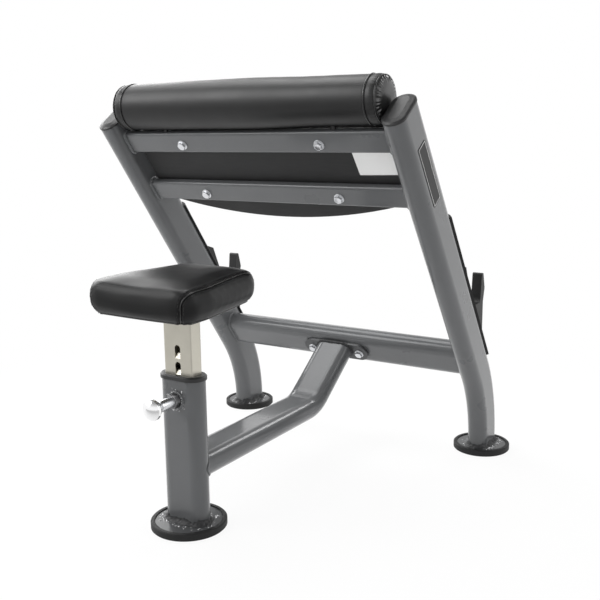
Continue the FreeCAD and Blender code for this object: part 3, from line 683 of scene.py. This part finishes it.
def creased(piece, path, depth, width, lip):
    """Presses a seam into a pad along a path, with a slight swell on either side."""
    tree = KDTree(len(path))
    for k, place in enumerate(path):
        tree.insert(place, k)
    tree.balance()
    normals = [v.normal.copy() for v in piece.data.vertices]
    for vert, normal in zip(piece.data.vertices, normals):
        away = tree.find(vert.co)[2] / width
        if away < 5:
            press = depth * math.exp(-away ** 2) - lip * math.exp(-(away - 2.2) ** 2)
            vert.co -= normal * press
    piece.data.update()


def on_skin(skin, path, rise):
    """A path laid on a surface, raised by a little."""
    laid = []
    for place in path:
        spot, normal = skin.find_nearest(place)[:2]
        laid.append(spot + normal * rise)
    return laid


def stitched(shell, skin, path, offset, closed):
    """A row of stitches beside a seam."""
    marks = resampled(path, stitch_pitch, closed)
    count = len(marks)
    for k in range(count if closed else count - 1):
        ahead = marks[(k + 1) % count] - marks[k]
        if ahead.length < 1e-6:
            continue
        spot, normal = skin.find_nearest(marks[k])[:2]
        along = ahead.normalized()
        middle = spot + normal.cross(along) * offset
        ends = [middle - along * (stitch_long / 2), middle, middle + along * (stitch_long / 2)]
        shell.tube(on_skin(skin, ends, stitch_rise), lambda _: stitch_thick, 5)


def cast_round(skin, middle, first, second, count):
    """A path round a pad's surface, as seen from a point inside it."""
    headings = circle(Vector(), first, second, 1.0, count)
    return resampled([skin.ray_cast(middle, heading)[0] for heading in headings], seam_step, True)


def seamed(piece, paths, depth, rise, closed):
    """Presses seams into a pad; returns its surface then, and the seams' piping and stitches."""
    for path in paths:
        creased(piece, path, depth, seam_width, seam_lip)
    skin = skin_of(piece)
    piping = Shell()
    thread = Shell()
    for path in paths:
        piping.tube(on_skin(skin, path, rise), lambda _: piping_radius, 8, closed)
        for offset in (-stitch_margin, stitch_margin):
            stitched(thread, skin, path, offset, closed)
    return skin, piping, thread


# Seat cushion: one panel over the front, top and back, and a boxed panel with piping on either side

seat_middle = sum(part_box("seat_post"), Vector()) / 2
seam_back_angle = math.radians(-50.3)
seam_front_angle = math.radians(58)
seam_back_share = 0.835
seam_front_share = 0.865
seat_seam_turn = 32 * mm
seat_seam_depth = 2.6 * mm
seat_shrink = 2.6 * mm
seat_voxel = 5 * mm
seat_pressure = 3.0
seat_swell = 5 * mm
seat_held_tall = 6 * mm
seat_foot_tall = 40 * mm
seat_foot_lift = 2.4 * mm
foot_piping_rise = 5 * mm
foot_piping_radius = 1.6 * mm


def seat_side_path(skin, low, high, sign):
    """Up the back corner, along the upper edge of one side and down the front corner."""
    back_top = low.z + (high.z - low.z) * seam_back_share
    front_top = low.z + (high.z - low.z) * seam_front_share
    foot = low.z + seat_held_tall
    reach = (high.x - low.x) / 2
    start = seam_back_angle * reach
    end = seam_front_angle * reach
    corners = [(start, foot, 0), (start, back_top, 0), (end, front_top, 0), (end, foot, 0)]
    path = []
    for place in resampled(rounded_run(corners, seat_seam_turn), seam_step, False):
        angle = place.x / reach
        heading = Vector((sign * math.cos(angle), math.sin(angle), 0))
        path.append(skin.ray_cast(Vector((0, seat_middle.y, place.y)), heading)[0])
    return path


def over_board():
    """A test of whether a place lies above or below the seat's board."""
    points = [v.co.to_2d() for v in cad["seat_board"].data.vertices]
    ring = [points[k] for k in convex_hull_2d(points)]
    sides = list(zip(ring, ring[1:] + ring[:1]))
    return lambda place: all((b - a).cross(place.to_2d() - a) > 0 for a, b in sides)


def lifted(piece, base):
    """Raises a cushion's rounded foot a little, and its middle to the board's underside."""
    board_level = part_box("seat_board")[0].z + 0.4 * mm
    hidden = over_board()
    for vert in piece.data.vertices:
        share = min(1.0, max(0.0, 1 - (vert.co.z - base) / seat_foot_tall))
        vert.co.z = max(vert.co.z, base) + seat_foot_lift * share
        if vert.co.z < board_level and hidden(vert.co):
            vert.co.z = board_level


def seat_cushion():
    low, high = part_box("seat_cushion")
    piece = outer_form("seat_pad", "seat_cushion", "seat_vinyl")
    size = high - low
    fixed = Vector((0, (low.y + high.y) / 2, low.z))
    shrunk(piece, fixed, seat_shrink, ((x_axis, size.x / 2), (y_axis, size.y / 2)))
    evened(piece, seat_voxel, 5)
    blown_up(piece, lambda place: place.z < low.z + seat_held_tall, seat_pressure, seat_swell)
    refined(piece)
    lifted(piece, low.z)
    skin = skin_of(piece)
    sides = [seat_side_path(skin, low, high, sign) for sign in (1, -1)]
    foot_middle = Vector((0, seat_middle.y, low.z + foot_piping_rise))
    foot = cast_round(skin, foot_middle, x_axis, y_axis, 180)
    skin, piping, thread = seamed(piece, sides, seat_seam_depth, 1.2 * mm, False)
    piping.tube(on_skin(skin, foot, 0.4 * mm), lambda _: foot_piping_radius, 8, True)
    piece_from("seat_piping", piping, "black_piping", "seat")
    piece_from("seat_stitches", thread, "seam_thread", "seat")
    finished(piece, "seat")
    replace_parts(piece, "seat_cushion")


def post_head_black_band():
    """A thin black band round the top of the inner post, just under the seat's plate."""
    low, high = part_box("inner_post")
    corner = 3 * mm
    thick = 2.2 * mm
    sunk = 0.3 * mm
    foot = high.z - 24 * mm
    rings = []
    for grown, level in ((-sunk, foot), (thick, foot), (thick, high.z), (-sunk, high.z)):
        start = Vector((low.x - grown, low.y - grown, level))
        rings.append(rounded_ring(start, x_axis * (high.x - low.x + 2 * grown),
                                  y_axis * (high.y - low.y + 2 * grown), corner + grown))
    shell = Shell()
    shell.skin(rings, True)
    piece_from("post_head_black_band", shell, "black_coat", "seat", True)


# Arm pad cushion: a boxed pad with piping round its front panel

pad_seam_share = 0.72
pad_seam_depth = 2.2 * mm
pad_shrink = 2.5 * mm
pad_voxel = 6 * mm
pad_pressure = 4.0
pad_swell = 7 * mm
pad_held_deep = 8 * mm


def arm_pad():
    low, high = lean_box("arm_pad_cushion")
    piece = outer_form("arm_pad", "arm_pad_cushion", "black_vinyl")
    size = high - low
    up_middle = (low.z + high.z) / 2
    reaches = ((x_axis, size.x / 2), (out_axis, size.y), (up_axis, size.z / 2))
    shrunk(piece, from_lean(0, low.y, up_middle), pad_shrink, reaches)
    evened(piece, pad_voxel, 3)
    blown_up(piece, lambda place: to_lean(place).y < low.y + pad_held_deep, pad_pressure, pad_swell)
    refined(piece)
    back = low.y + 0.4 * mm
    for vert in piece.data.vertices:
        across, out, up = to_lean(vert.co)
        vert.co = from_lean(across, max(out, back), min(up, high.z))
    middle = from_lean(0, low.y + size.y * pad_seam_share, up_middle)
    edge = cast_round(skin_of(piece), middle, x_axis, up_axis, 720)
    _, piping, thread = seamed(piece, [edge], pad_seam_depth, 0.7 * mm, True)
    piece_from("arm_pad_piping", piping, "black_piping", "frame")
    piece_from("arm_pad_stitches", thread, "seam_thread", "frame")
    finished(piece, "frame")
    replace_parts(piece, "arm_pad_cushion")


# Arm roll: a stuffed sleeve with a welt and a gathered, domed disc at either end

roll_low, roll_high = lean_box("arm_roll")
roll_radius = (roll_high.y - roll_low.y) / 2
roll_out = (roll_low.y + roll_high.y) / 2
roll_up = roll_high.z - roll_radius
roll_half = roll_high.x
roll_end_radius = roll_radius - 1.25 * mm
roll_slim = {1: 3.0 * mm, -1: 0.6 * mm}
roll_uneven = 0.5 * mm
roll_sides = 252
welt_place = roll_half - 25 * mm
gather_place = roll_half - 2.5 * mm
band_start = welt_place + 5 * mm
band_end = gather_place - 3 * mm
dome_rise = 8 * mm
disc_inset = 3.4 * mm
disc_rings = 22
pleat_count = 36
cap_top = lean_box("right_upright_cap")[1].z
over_cap_bulge = 5 * mm
over_cap_run = 60 * mm
bar_low, bar_high = lean_box("upper_pad_bar")
bar_corner = 7 * mm
pad_top = lean_box("arm_pad_cushion")[1].z
soft_gap = 0.6 * mm


def pressed(across, out, up):
    """A point of the roll, pushed clear of the bar and the pad that it lies on."""
    near = Vector((min(max(out, bar_low.y + bar_corner), bar_high.y - bar_corner),
                   min(max(up, bar_low.z + bar_corner), bar_high.z - bar_corner)))
    away = Vector((out, up)) - near
    least = bar_corner + soft_gap
    if away.length < least:
        away = away.normalized() * least if away.length > 0 else Vector((0, least))
        out, up = near + away
    if out > bar_high.y:
        up = max(up, pad_top + soft_gap)
    return from_lean(across, out, up)


def roll_pleats():
    """The gathers round one end disc: angle, height, share of the radius that they run in, and width."""
    draw = random.Random(7)
    step = 2 * math.pi / pleat_count
    return [(step * (k + draw.uniform(-0.3, 0.3)), draw.uniform(0.6, 1.3), draw.uniform(0.2, 0.42),
             step * draw.uniform(0.17, 0.27)) for k in range(pleat_count)]


def pleat_height(pleats, angle, share):
    """How far the gathers stand out at an angle, and at a share of the disc's radius."""
    total = 0.0
    for place, height, reach, width in pleats:
        turn = (angle - place + math.pi) % (2 * math.pi) - math.pi
        inward = (share - 1 + reach) / reach
        if abs(turn) < 3 * width and inward > 0:
            total += height * math.exp(-(turn / width) ** 2) * min(1.0, inward) ** 1.5
    return total


def eased(share):
    """A soft step from 0 to 1."""
    share = min(1.0, max(0.0, share))
    return share * share * (3 - 2 * share)


def roll_stations(sign):
    """Places along half of the roll, with the radius there; an end can be a little slimmer."""
    end_radius = roll_end_radius - roll_slim[sign]
    stations = []
    for k in range(60):
        place = (welt_place - 5 * mm) * k / 59
        swell = 1 - (place / welt_place) ** 2
        radius = roll_end_radius + (roll_radius - roll_end_radius) * swell
        stations.append((place, radius - roll_slim[sign] * eased(place / (0.7 * welt_place))))
    for k in range(-4, 5):
        stations.append((welt_place + k * mm, end_radius - 2.4 * mm * math.exp(-(k / 1.8) ** 2)))
    for k in range(9):
        share = k / 8
        stations.append((band_start + (band_end - band_start) * share,
                         end_radius + (0.7 * math.sin(math.pi * share) - 1.2 * share ** 3) * mm))
    for k, drop in ((-2, 1.8), (-1, 2.9), (0, 3.6)):
        stations.append((gather_place + k * mm, end_radius - drop * mm))
    return stations


def band_pucker(pleats, place, angle):
    """Small puckers in the band beside the gathers."""
    share = (place - band_start) / (gather_place - band_start)
    if share <= 0:
        return 0.0
    return (pleat_height(pleats, angle, 0.999) - 0.5) * 0.9 * mm * min(1.0, share) ** 2


def roll_point(sign, place, radius, angle, uneven):
    """A point on the roll; angle 0 is out of the pad and a quarter turn is up."""
    spot = Vector((sign * place, radius * math.cos(angle), radius * math.sin(angle)))
    radius += uneven * noise.noise(spot * 9.0) + 0.35 * uneven * noise.noise(spot * 38.0)
    return pressed(sign * place, roll_out + radius * math.cos(angle), roll_up + radius * math.sin(angle))


def disc_point(sign, rim, share, angle, pleats):
    """A point on an end disc: domed, gathered round its rim, and bulging where it is clear of the cap."""
    out = rim * share * math.cos(angle)
    up = rim * share * math.sin(angle)
    over = eased((roll_up + up - cap_top) / over_cap_run)
    folds = (3.5 * pleat_height(pleats, angle, share) - 1.0) * mm * min(1.0, (1 - share) * 14)
    rise = dome_rise * (1 - share ** 4) ** 0.6 + over_cap_bulge * over * (1 - share ** 3)
    place = gather_place + rise + folds
    return from_lean(sign * place, roll_out + out, roll_up + up)


def half_roll(sign, turns, pleats):
    """Rings of points along half of the roll and over its end disc."""
    rings = []
    for place, radius in roll_stations(sign):
        rings.append([roll_point(sign, place, radius + band_pucker(pleats, place, a), a, roll_uneven)
                      for a in turns])
    rim = roll_end_radius - roll_slim[sign] - disc_inset
    for k in range(1, disc_rings):
        share = math.cos(math.pi / 2 * k / disc_rings)
        rings.append([disc_point(sign, rim, share, a, pleats) for a in turns])
    return rings


def arm_roll():
    turns = [2 * math.pi * n / roll_sides for n in range(roll_sides)]
    pleats = roll_pleats()
    over = eased((roll_up - cap_top) / over_cap_run)
    tip = gather_place + dome_rise + over_cap_bulge * over - 0.8 * mm
    shell = Shell()
    halves = []
    for sign in (1, -1):
        made = shell.skin(half_roll(sign, turns, pleats))
        shell.fan(made[-1], from_lean(sign * tip, roll_out, roll_up))
        halves.append(made[0])
    same = dict(zip(halves[1], halves[0]))
    shell.faces = [tuple(same.get(n, n) for n in face) for face in shell.faces]
    piece = piece_from("arm_roll_cover", shell, "black_vinyl", "frame")
    piece.data.materials.append(looks["gathered_vinyl"])
    for face in piece.data.polygons:
        face.material_index = int(abs(face.center.x) > gather_place + 1 * mm)
    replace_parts(piece, "arm_roll")
    roll_welts(turns[::2])


def roll_welts(turns):
    welts = Shell()
    for sign in (1, -1):
        end_radius = roll_end_radius - roll_slim[sign]
        for place, inset, radius in ((welt_place, 0.1 * mm, 2.3 * mm), (gather_place, 2.0 * mm, 1.8 * mm)):
            ring = [roll_point(sign, place, end_radius - inset, a, 0.0) for a in turns]
            welts.tube(ring, lambda _: radius, 8, True)
    piece_from("arm_roll_welts", welts, "black_piping", "frame")


# Welds

inner_face = lean_box("cross_beam")[1].x


def weld(shell, loop, radius, seed, closed=True):
    """A rippled bead along a corner."""
    path = resampled(loop, 1.1 * mm, closed)
    sway = ripple(seed, 5, 9 * mm, 45 * mm)
    pitch = 2 * math.pi / (3.2 * mm)
    shell.tube(path, lambda s: radius * (1 + 0.09 * math.sin(pitch * s) + 0.11 * sway(s)), 10, closed)


def fillet(shell, loop, tall, wide, seed):
    """A hollow, uneven weld round the foot of an upright tube."""
    path = resampled(loop, 1.5 * mm, True)
    middle = sum(path, Vector()) / len(path)
    sway = ripple(seed, 6, 14 * mm, 60 * mm)
    lump = ripple(seed + 100, 6, 4.5 * mm, 12 * mm)
    sunk = 0.3 * mm
    steps = 8
    rings = [[] for _ in range(steps + 2)]
    along = 0.0
    for k, place in enumerate(path):
        ahead = path[(k + 1) % len(path)] - path[k - 1]
        outward = ahead.cross(z_axis).normalized()
        if outward.dot(place - middle) < 0:
            outward.negate()
        grown = 1 + 0.2 * sway(along)
        for j in range(steps + 1):
            share = j / steps
            bulge = 0.55 * mm * lump(along + 2 * mm * j) * math.sin(math.pi * share)
            out = wide * grown * share ** 1.7 - sunk * (1 - share) + bulge
            up = tall * grown * (1 - share) ** 1.7 - sunk * share + bulge
            rings[j].append(place + outward * out + z_axis * up)
        rings[-1].append(place - outward * (3 * sunk) - z_axis * sunk)
        along += (path[(k + 1) % len(path)] - place).length
    shell.skin(rings, True)


def foot_loop(name):
    """The outline of a tube where it stands on its foot plate."""
    tube = "seat_post" if name == "seat" else name + "_upright"
    plate_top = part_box(name + "_foot_plate")[1].z
    return sharp_loop(tube, lambda p: p.z < plate_top + 0.5 * mm)


fillet_tall = 13 * mm
fillet_wide = 10 * mm


def frame_welds():
    # Dark welds: their colour is partly painted shade
    dark = Shell()
    painted = Shell()
    for k, name in enumerate(("left", "right", "seat")):
        fillet(dark, foot_loop(name), fillet_tall, fillet_wide, 11 + k)
    for sign in (-1, 1):
        for k, (bar, radius) in enumerate((("cross_beam", 4.2 * mm), ("upper_pad_bar", 5.4 * mm),
                                           ("lower_pad_bar", 5.4 * mm))):
            loop = sharp_loop(bar, lambda p: sign * p.x > inner_face - 0.5 * mm)
            weld(painted, loop, radius, 20 + 10 * sign + k)
    post_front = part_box("seat_post")[1].y
    weld(painted, sharp_loop("seat_strut", lambda p: p.y < post_front + 2 * mm), 3.2 * mm, 42)
    flange_face = lean_box("strut_flange")[0].y
    weld(dark, sharp_loop("seat_strut", lambda p: abs(to_lean(p).y - flange_face) < 1 * mm), 4.0 * mm, 43)
    piece_from("frame_welds", dark, "weld_paint", "frame")
    piece_from("painted_welds", painted, "grey_paint", "frame")


def plunger_weld():
    """A rough ring of weld round the plunger's housing."""
    low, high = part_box("plunger_housing")
    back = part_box("seat_post")[0].y
    reach = (high.x - low.x) / 2 + 1.0 * mm
    middle = (low + high) / 2
    shell = Shell()
    ring = circle(Vector((0, back, middle.z)), x_axis, z_axis, reach, 72)
    weld(shell, ring, 4.0 * mm, 51)
    drops = Shell()
    draw = random.Random(52)
    for _ in range(40):
        angle = draw.uniform(0, 2 * math.pi)
        away = reach + draw.uniform(-1.0, 9.0) * mm
        spot = Vector((away * math.cos(angle), back, middle.z + away * math.sin(angle)))
        lift = 3.6 * mm if away < reach + 2.5 * mm else 0.0
        drops.dome(spot - y_axis * lift, -y_axis, draw.uniform(0.6, 1.6) * mm, draw.uniform(0.5, 1.1) * mm)
    piece_from("plunger_weld", shell, "grey_paint", "frame")
    piece_from("plunger_spatter", drops, "weld_metal", "frame")


def weld_spatter():
    """Small drops of weld metal on the foot plates, thickest beside the beads."""
    shell = Shell()
    draw = random.Random(61)
    for name in ("left", "right", "seat"):
        low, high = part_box(name + "_foot_plate")
        middle = (low + high) / 2
        radius = (high.x - low.x) / 2 - 4 * mm
        rim = resampled(foot_loop(name), 2 * mm, True)
        for _ in range(110):
            start = draw.choice(rim)
            way = start - middle
            way.z = 0
            away = way.length + fillet_wide + abs(draw.gauss(0, 8)) * mm
            size = draw.choice((0.6, 0.7, 0.9, 1.1, 1.4, 1.9)) * mm
            if away > radius:
                continue
            spot = middle + way.normalized() * away
            spot.z = high.z
            shell.dome(spot, z_axis, size, size * draw.uniform(0.5, 0.9))
    piece_from("weld_spatter", shell, "weld_metal", "frame")


# Bolts and washers

def hex_head(shell, base, axis, side, flats, tall):
    """A hexagonal head with chamfered corners and a slightly dished top, one of its flats to a side."""
    other = axis.cross(side)
    crown = flats / 2 * 0.94
    slope = math.tan(math.radians(30))
    dish = 0.35 * mm
    count = 72
    rings = [[], [], [], [], []]
    for n in range(count):
        angle = 2 * math.pi * n / count
        reach = flats / 2 / math.cos((angle + math.pi / 6) % (math.pi / 3) - math.pi / 6)
        way = side * math.cos(angle) + other * math.sin(angle)
        places = ((reach, 0), (reach, tall - (reach - crown) * slope), (crown, tall), (crown * 0.86, tall),
                  (crown * 0.7, tall - dish))
        for ring, (radius, height) in zip(rings, places):
            ring.append(base + axis * height + way * radius)
    made = shell.skin(rings)
    shell.fan(made[-1], base + axis * (tall - dish))
    shell.fan(made[0], base)


def washer(shell, base, axis, outside, inside, thick):
    """A stamped washer with rounded edges."""
    edge = thick * 0.35
    profile = [(inside, 0), (inside, thick), (outside - edge, thick),
               (outside - 0.3 * edge, thick - 0.3 * edge), (outside, thick - edge), (outside, 0)]
    shell.lathe(profile, base, axis, 64)


def shank(shell, base, axis, radius, length):
    shell.lathe([(0.05 * mm, 0), (radius, 0), (radius, length), (0.05 * mm, length)], base, axis, 24)


def bolt_set(name, bolts, washers):
    """Bolts whose heads point out of the back of the bars or of the flange."""
    heads = Shell()
    discs = Shell()
    draw = random.Random(name)
    for bolt, disc in zip(islands(bolts), islands(washers)):
        low, high = box_of([to_lean(p) for p in bolt])
        disc_low, disc_high = box_of([to_lean(p) for p in disc])
        middle = from_lean((low.x + high.x) / 2, disc_low.y, (low.z + high.z) / 2)
        flats = min(high.x - low.x, high.z - low.z)
        side = Matrix.Rotation(draw.uniform(0, 1), 3, out_axis) @ x_axis
        hex_head(heads, middle, -out_axis, side, flats, disc_low.y - low.y)
        shank(heads, middle, out_axis, flats * 0.28, high.y - disc_low.y)
        washer(discs, from_lean((low.x + high.x) / 2, disc_high.y, (low.z + high.z) / 2), -out_axis,
               (disc_high.x - disc_low.x) / 2, flats * 0.3, disc_high.y - disc_low.y)
    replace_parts(piece_from(name + "_bolt_heads", heads, "zinc_steel", "frame", True), bolts)
    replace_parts(piece_from(name + "_bolt_washers", discs, "zinc_steel", "frame", True), washers)


# Plates, label and spring

def slab(shell, corner, first, second, normal, thick, round_share):
    """A thin plate with rounded corners, from one of its corners and two edges."""
    ring = rounded_ring(corner, first, second, min(first.length, second.length) * round_share)
    middle = corner + (first + second) / 2
    edge = thick * 0.5
    made = shell.skin([ring, [p + normal * (thick - edge) for p in ring],
                       [p + normal * thick + (middle - p).normalized() * edge for p in ring]])
    shell.fan(made[-1], middle + normal * thick)
    shell.fan(made[0], middle)


def board_label():
    """A blank paper label on the back of the arm pad's board, above the lower bar."""
    back = lean_box("arm_pad_board")[0].y
    bar_top = lean_box("lower_pad_bar")[1].z
    tilt = Matrix.Rotation(math.radians(1.5), 3, -out_axis)
    shell = Shell()
    slab(shell, from_lean(238 * mm, back, bar_top + 19 * mm), tilt @ x_axis * (92 * mm),
         tilt @ up_axis * (66 * mm), -out_axis, 0.35 * mm, 0.03)
    piece_from("board_label", shell, "paper_label", "frame", True)


def badge_border():
    """A thin pale line round the blank plate on the right upright."""
    low, high = lean_box("side_badge")
    inset = 1.6 * mm
    width = 1.1 * mm
    thick = 0.12 * mm
    across = (high.y - low.y) - 2 * inset
    tall = (high.z - low.z) - 2 * inset
    shell = Shell()
    for out, up, first, second in (
            (0, 0, across, width), (0, tall - width, across, width),
            (0, width, width, tall - 2 * width), (across - width, width, width, tall - 2 * width)):
        corner = from_lean(high.x, low.y + inset + out, low.z + inset + up)
        slab(shell, corner, out_axis * first, up_axis * second, x_axis, thick, 0.05)
    piece_from("badge_border", shell, "paper_label", "frame", True)


def plunger_body():
    """The plunger's hexagonal root and its plain neck."""
    low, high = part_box("plunger_housing")
    middle = (low + high) / 2
    root = Vector((middle.x, high.y, middle.z))
    hex_long = 17 * mm
    flats = high.z - low.z
    hexagon = Shell()
    hex_head(hexagon, root, -y_axis, z_axis, flats, hex_long)
    neck = 11.5 * mm
    bore = 4.3 * mm
    edge = 0.8 * mm
    end = high.y - low.y
    pin_low, pin_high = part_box("plunger_pin")
    nose_bore = (pin_high.z - pin_low.z) / 2 + 0.25 * mm
    inner_end = high.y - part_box("plunger_spring")[0].y
    profile = [(nose_bore, hex_long - edge), (neck - edge, hex_long - edge), (neck - edge, hex_long + edge),
               (neck, hex_long + 2 * edge), (neck, end - edge), (neck - 0.3 * edge, end - 0.3 * edge),
               (neck - edge, end), (bore, end), (bore, inner_end), (nose_bore, inner_end)]
    barrel = Shell()
    barrel.lathe(profile, root, -y_axis, 64)
    piece_from("plunger_root", hexagon, "dark_steel", "frame", True)
    piece = piece_from("plunger_neck", barrel, "zinc_steel", "frame", True)
    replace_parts(piece, "plunger_housing")


def plunger_coil():
    """The coil spring in the plunger's housing."""
    low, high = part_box("plunger_spring")
    wire = 0.7 * mm
    radius = (high.z - low.z) / 2 - wire
    middle = (low + high) / 2
    turns = 8
    steps = 40
    length = high.y - low.y - 2 * wire
    path = []
    for k in range(turns * steps + 1):
        angle = 2 * math.pi * k / steps
        path.append(Vector((middle.x + radius * math.cos(angle), low.y + wire + length * k / (turns * steps),
                            middle.z + radius * math.sin(angle))))
    shell = Shell()
    shell.tube(path, lambda _: wire, 8)
    piece = piece_from("plunger_coil", shell, "zinc_steel", "frame")
    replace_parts(piece, "plunger_spring")
    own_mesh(piece)


# Stage

floor_size = 30.0
floor_colour = (0.96, 0.96, 0.96)
dull_heading = (0.55, -0.83, 0.0)
dull_floor = 0.55
dark_ceiling = 0.35
room_light = 0.40


def plain_rays(g):
    """1 for rays that should see the plain white studio: from the camera, in gloss and through glass."""
    seen = g.math("MAXIMUM", g.ray("Is Camera Ray"), g.ray("Is Glossy Ray"))
    return g.math("MAXIMUM", seen, g.ray("Is Transmission Ray"))


def gloss_level(g):
    """1 to the camera, but in gloss a floor that is duller towards the front and right."""
    side = g.vector("DOT_PRODUCT", g.place, dull_heading)
    return g.spread(g.ray("Is Glossy Ray"), 1.0, g.spread(side, 1.0, dull_floor, 0.0, 1.2, "SMOOTHSTEP"))


def ceiling_level(g):
    """1 all round, but in gloss a studio that darkens from above the horizon up to its ceiling."""
    parts = g.add("ShaderNodeSeparateXYZ")
    g.feed(parts, Vector=g.coordinates["Generated"])
    return g.spread(g.ray("Is Glossy Ray"), 1.0, g.spread(parts.outputs["Z"], 1.0, dark_ceiling, 0.4, 0.85))


def floor_look():
    """White floor: plain to the camera and in reflections, with a soft shadow round the feet."""
    material = bpy.data.materials.new("floor_white")
    g = Graph(material)
    g.tree.nodes.remove(g.shader)
    fade = g.spread(g.vector("LENGTH", g.place), 0.92, 1.0, 0.7, 1.4, "SMOOTHSTEP")
    lit = g.add("ShaderNodeBsdfDiffuse")
    g.feed(lit, Color=floor_colour)
    white = g.add("ShaderNodeEmission")
    g.feed(white, Strength=gloss_level(g))
    mix = g.add("ShaderNodeMixShader")
    share = g.math("MULTIPLY", plain_rays(g), fade)
    for socket, value in zip(mix.inputs, (share, lit.outputs["BSDF"], white.outputs["Emission"])):
        g.put(socket, value)
    g.feed(g.tree.nodes["Material Output"], Surface=mix.outputs["Shader"])
    return material


def make_stage():
    bpy.ops.mesh.primitive_plane_add(size=floor_size)
    floor = bpy.context.object
    floor.name = "floor"
    floor.data.materials.append(floor_look())
    scene.world = bpy.data.worlds.new("studio")
    g = Graph(scene.world)
    g.feed(g.tree.nodes["Background"], Color=(1.0, 1.0, 1.0),
           Strength=g.spread(plain_rays(g), room_light, ceiling_level(g)))


def soft_box(name, place, aim, wide, tall, watts):
    data = bpy.data.lights.new(name, "AREA")
    data.shape = "RECTANGLE"
    data.size = wide
    data.size_y = tall
    data.energy = watts
    lamp = bpy.data.objects.new(name, data)
    lamp.location = place
    lamp.rotation_mode = "QUATERNION"
    lamp.rotation_quaternion = (Vector(aim) - Vector(place)).to_track_quat("-Z", "Y")
    lamp.visible_camera = False
    scene.collection.objects.link(lamp)


def make_lights():
    middle = (0.0, 0.0, 0.45)
    soft_box("top_box", (-0.75, 0.3, 3.0), middle, 1.4, 2.0, 34.0)
    soft_box("front_box", (-2.15, -2.4, 2.85), middle, 1.9, 1.9, 64.0)
    soft_box("right_box", (2.8, 0.6, 1.6), middle, 1.2, 2.0, 14.0)
    soft_box("back_strip", (0.6, 2.4, 2.25), middle, 0.8, 0.8, 15.0)
    soft_box("back_left_box", (-2.1, 2.3, 1.75), middle, 1.8, 1.1, 4.5)
    soft_box("left_box", (-2.85, 0.8, 1.85), middle, 3.0, 1.8, 70.0)


scene.view_settings.view_transform = "Standard"
make_camera()
make_stage()
make_lights()
make_looks()
paint_nodes()
seat_cushion()
post_head_black_band()
arm_pad()
arm_roll()
frame_welds()
plunger_weld()
weld_spatter()
bolt_set("pad", "pad_bolts", "pad_washers")
bolt_set("flange", "flange_bolts", "flange_washers")
board_label()
badge_border()
plunger_coil()
plunger_body()
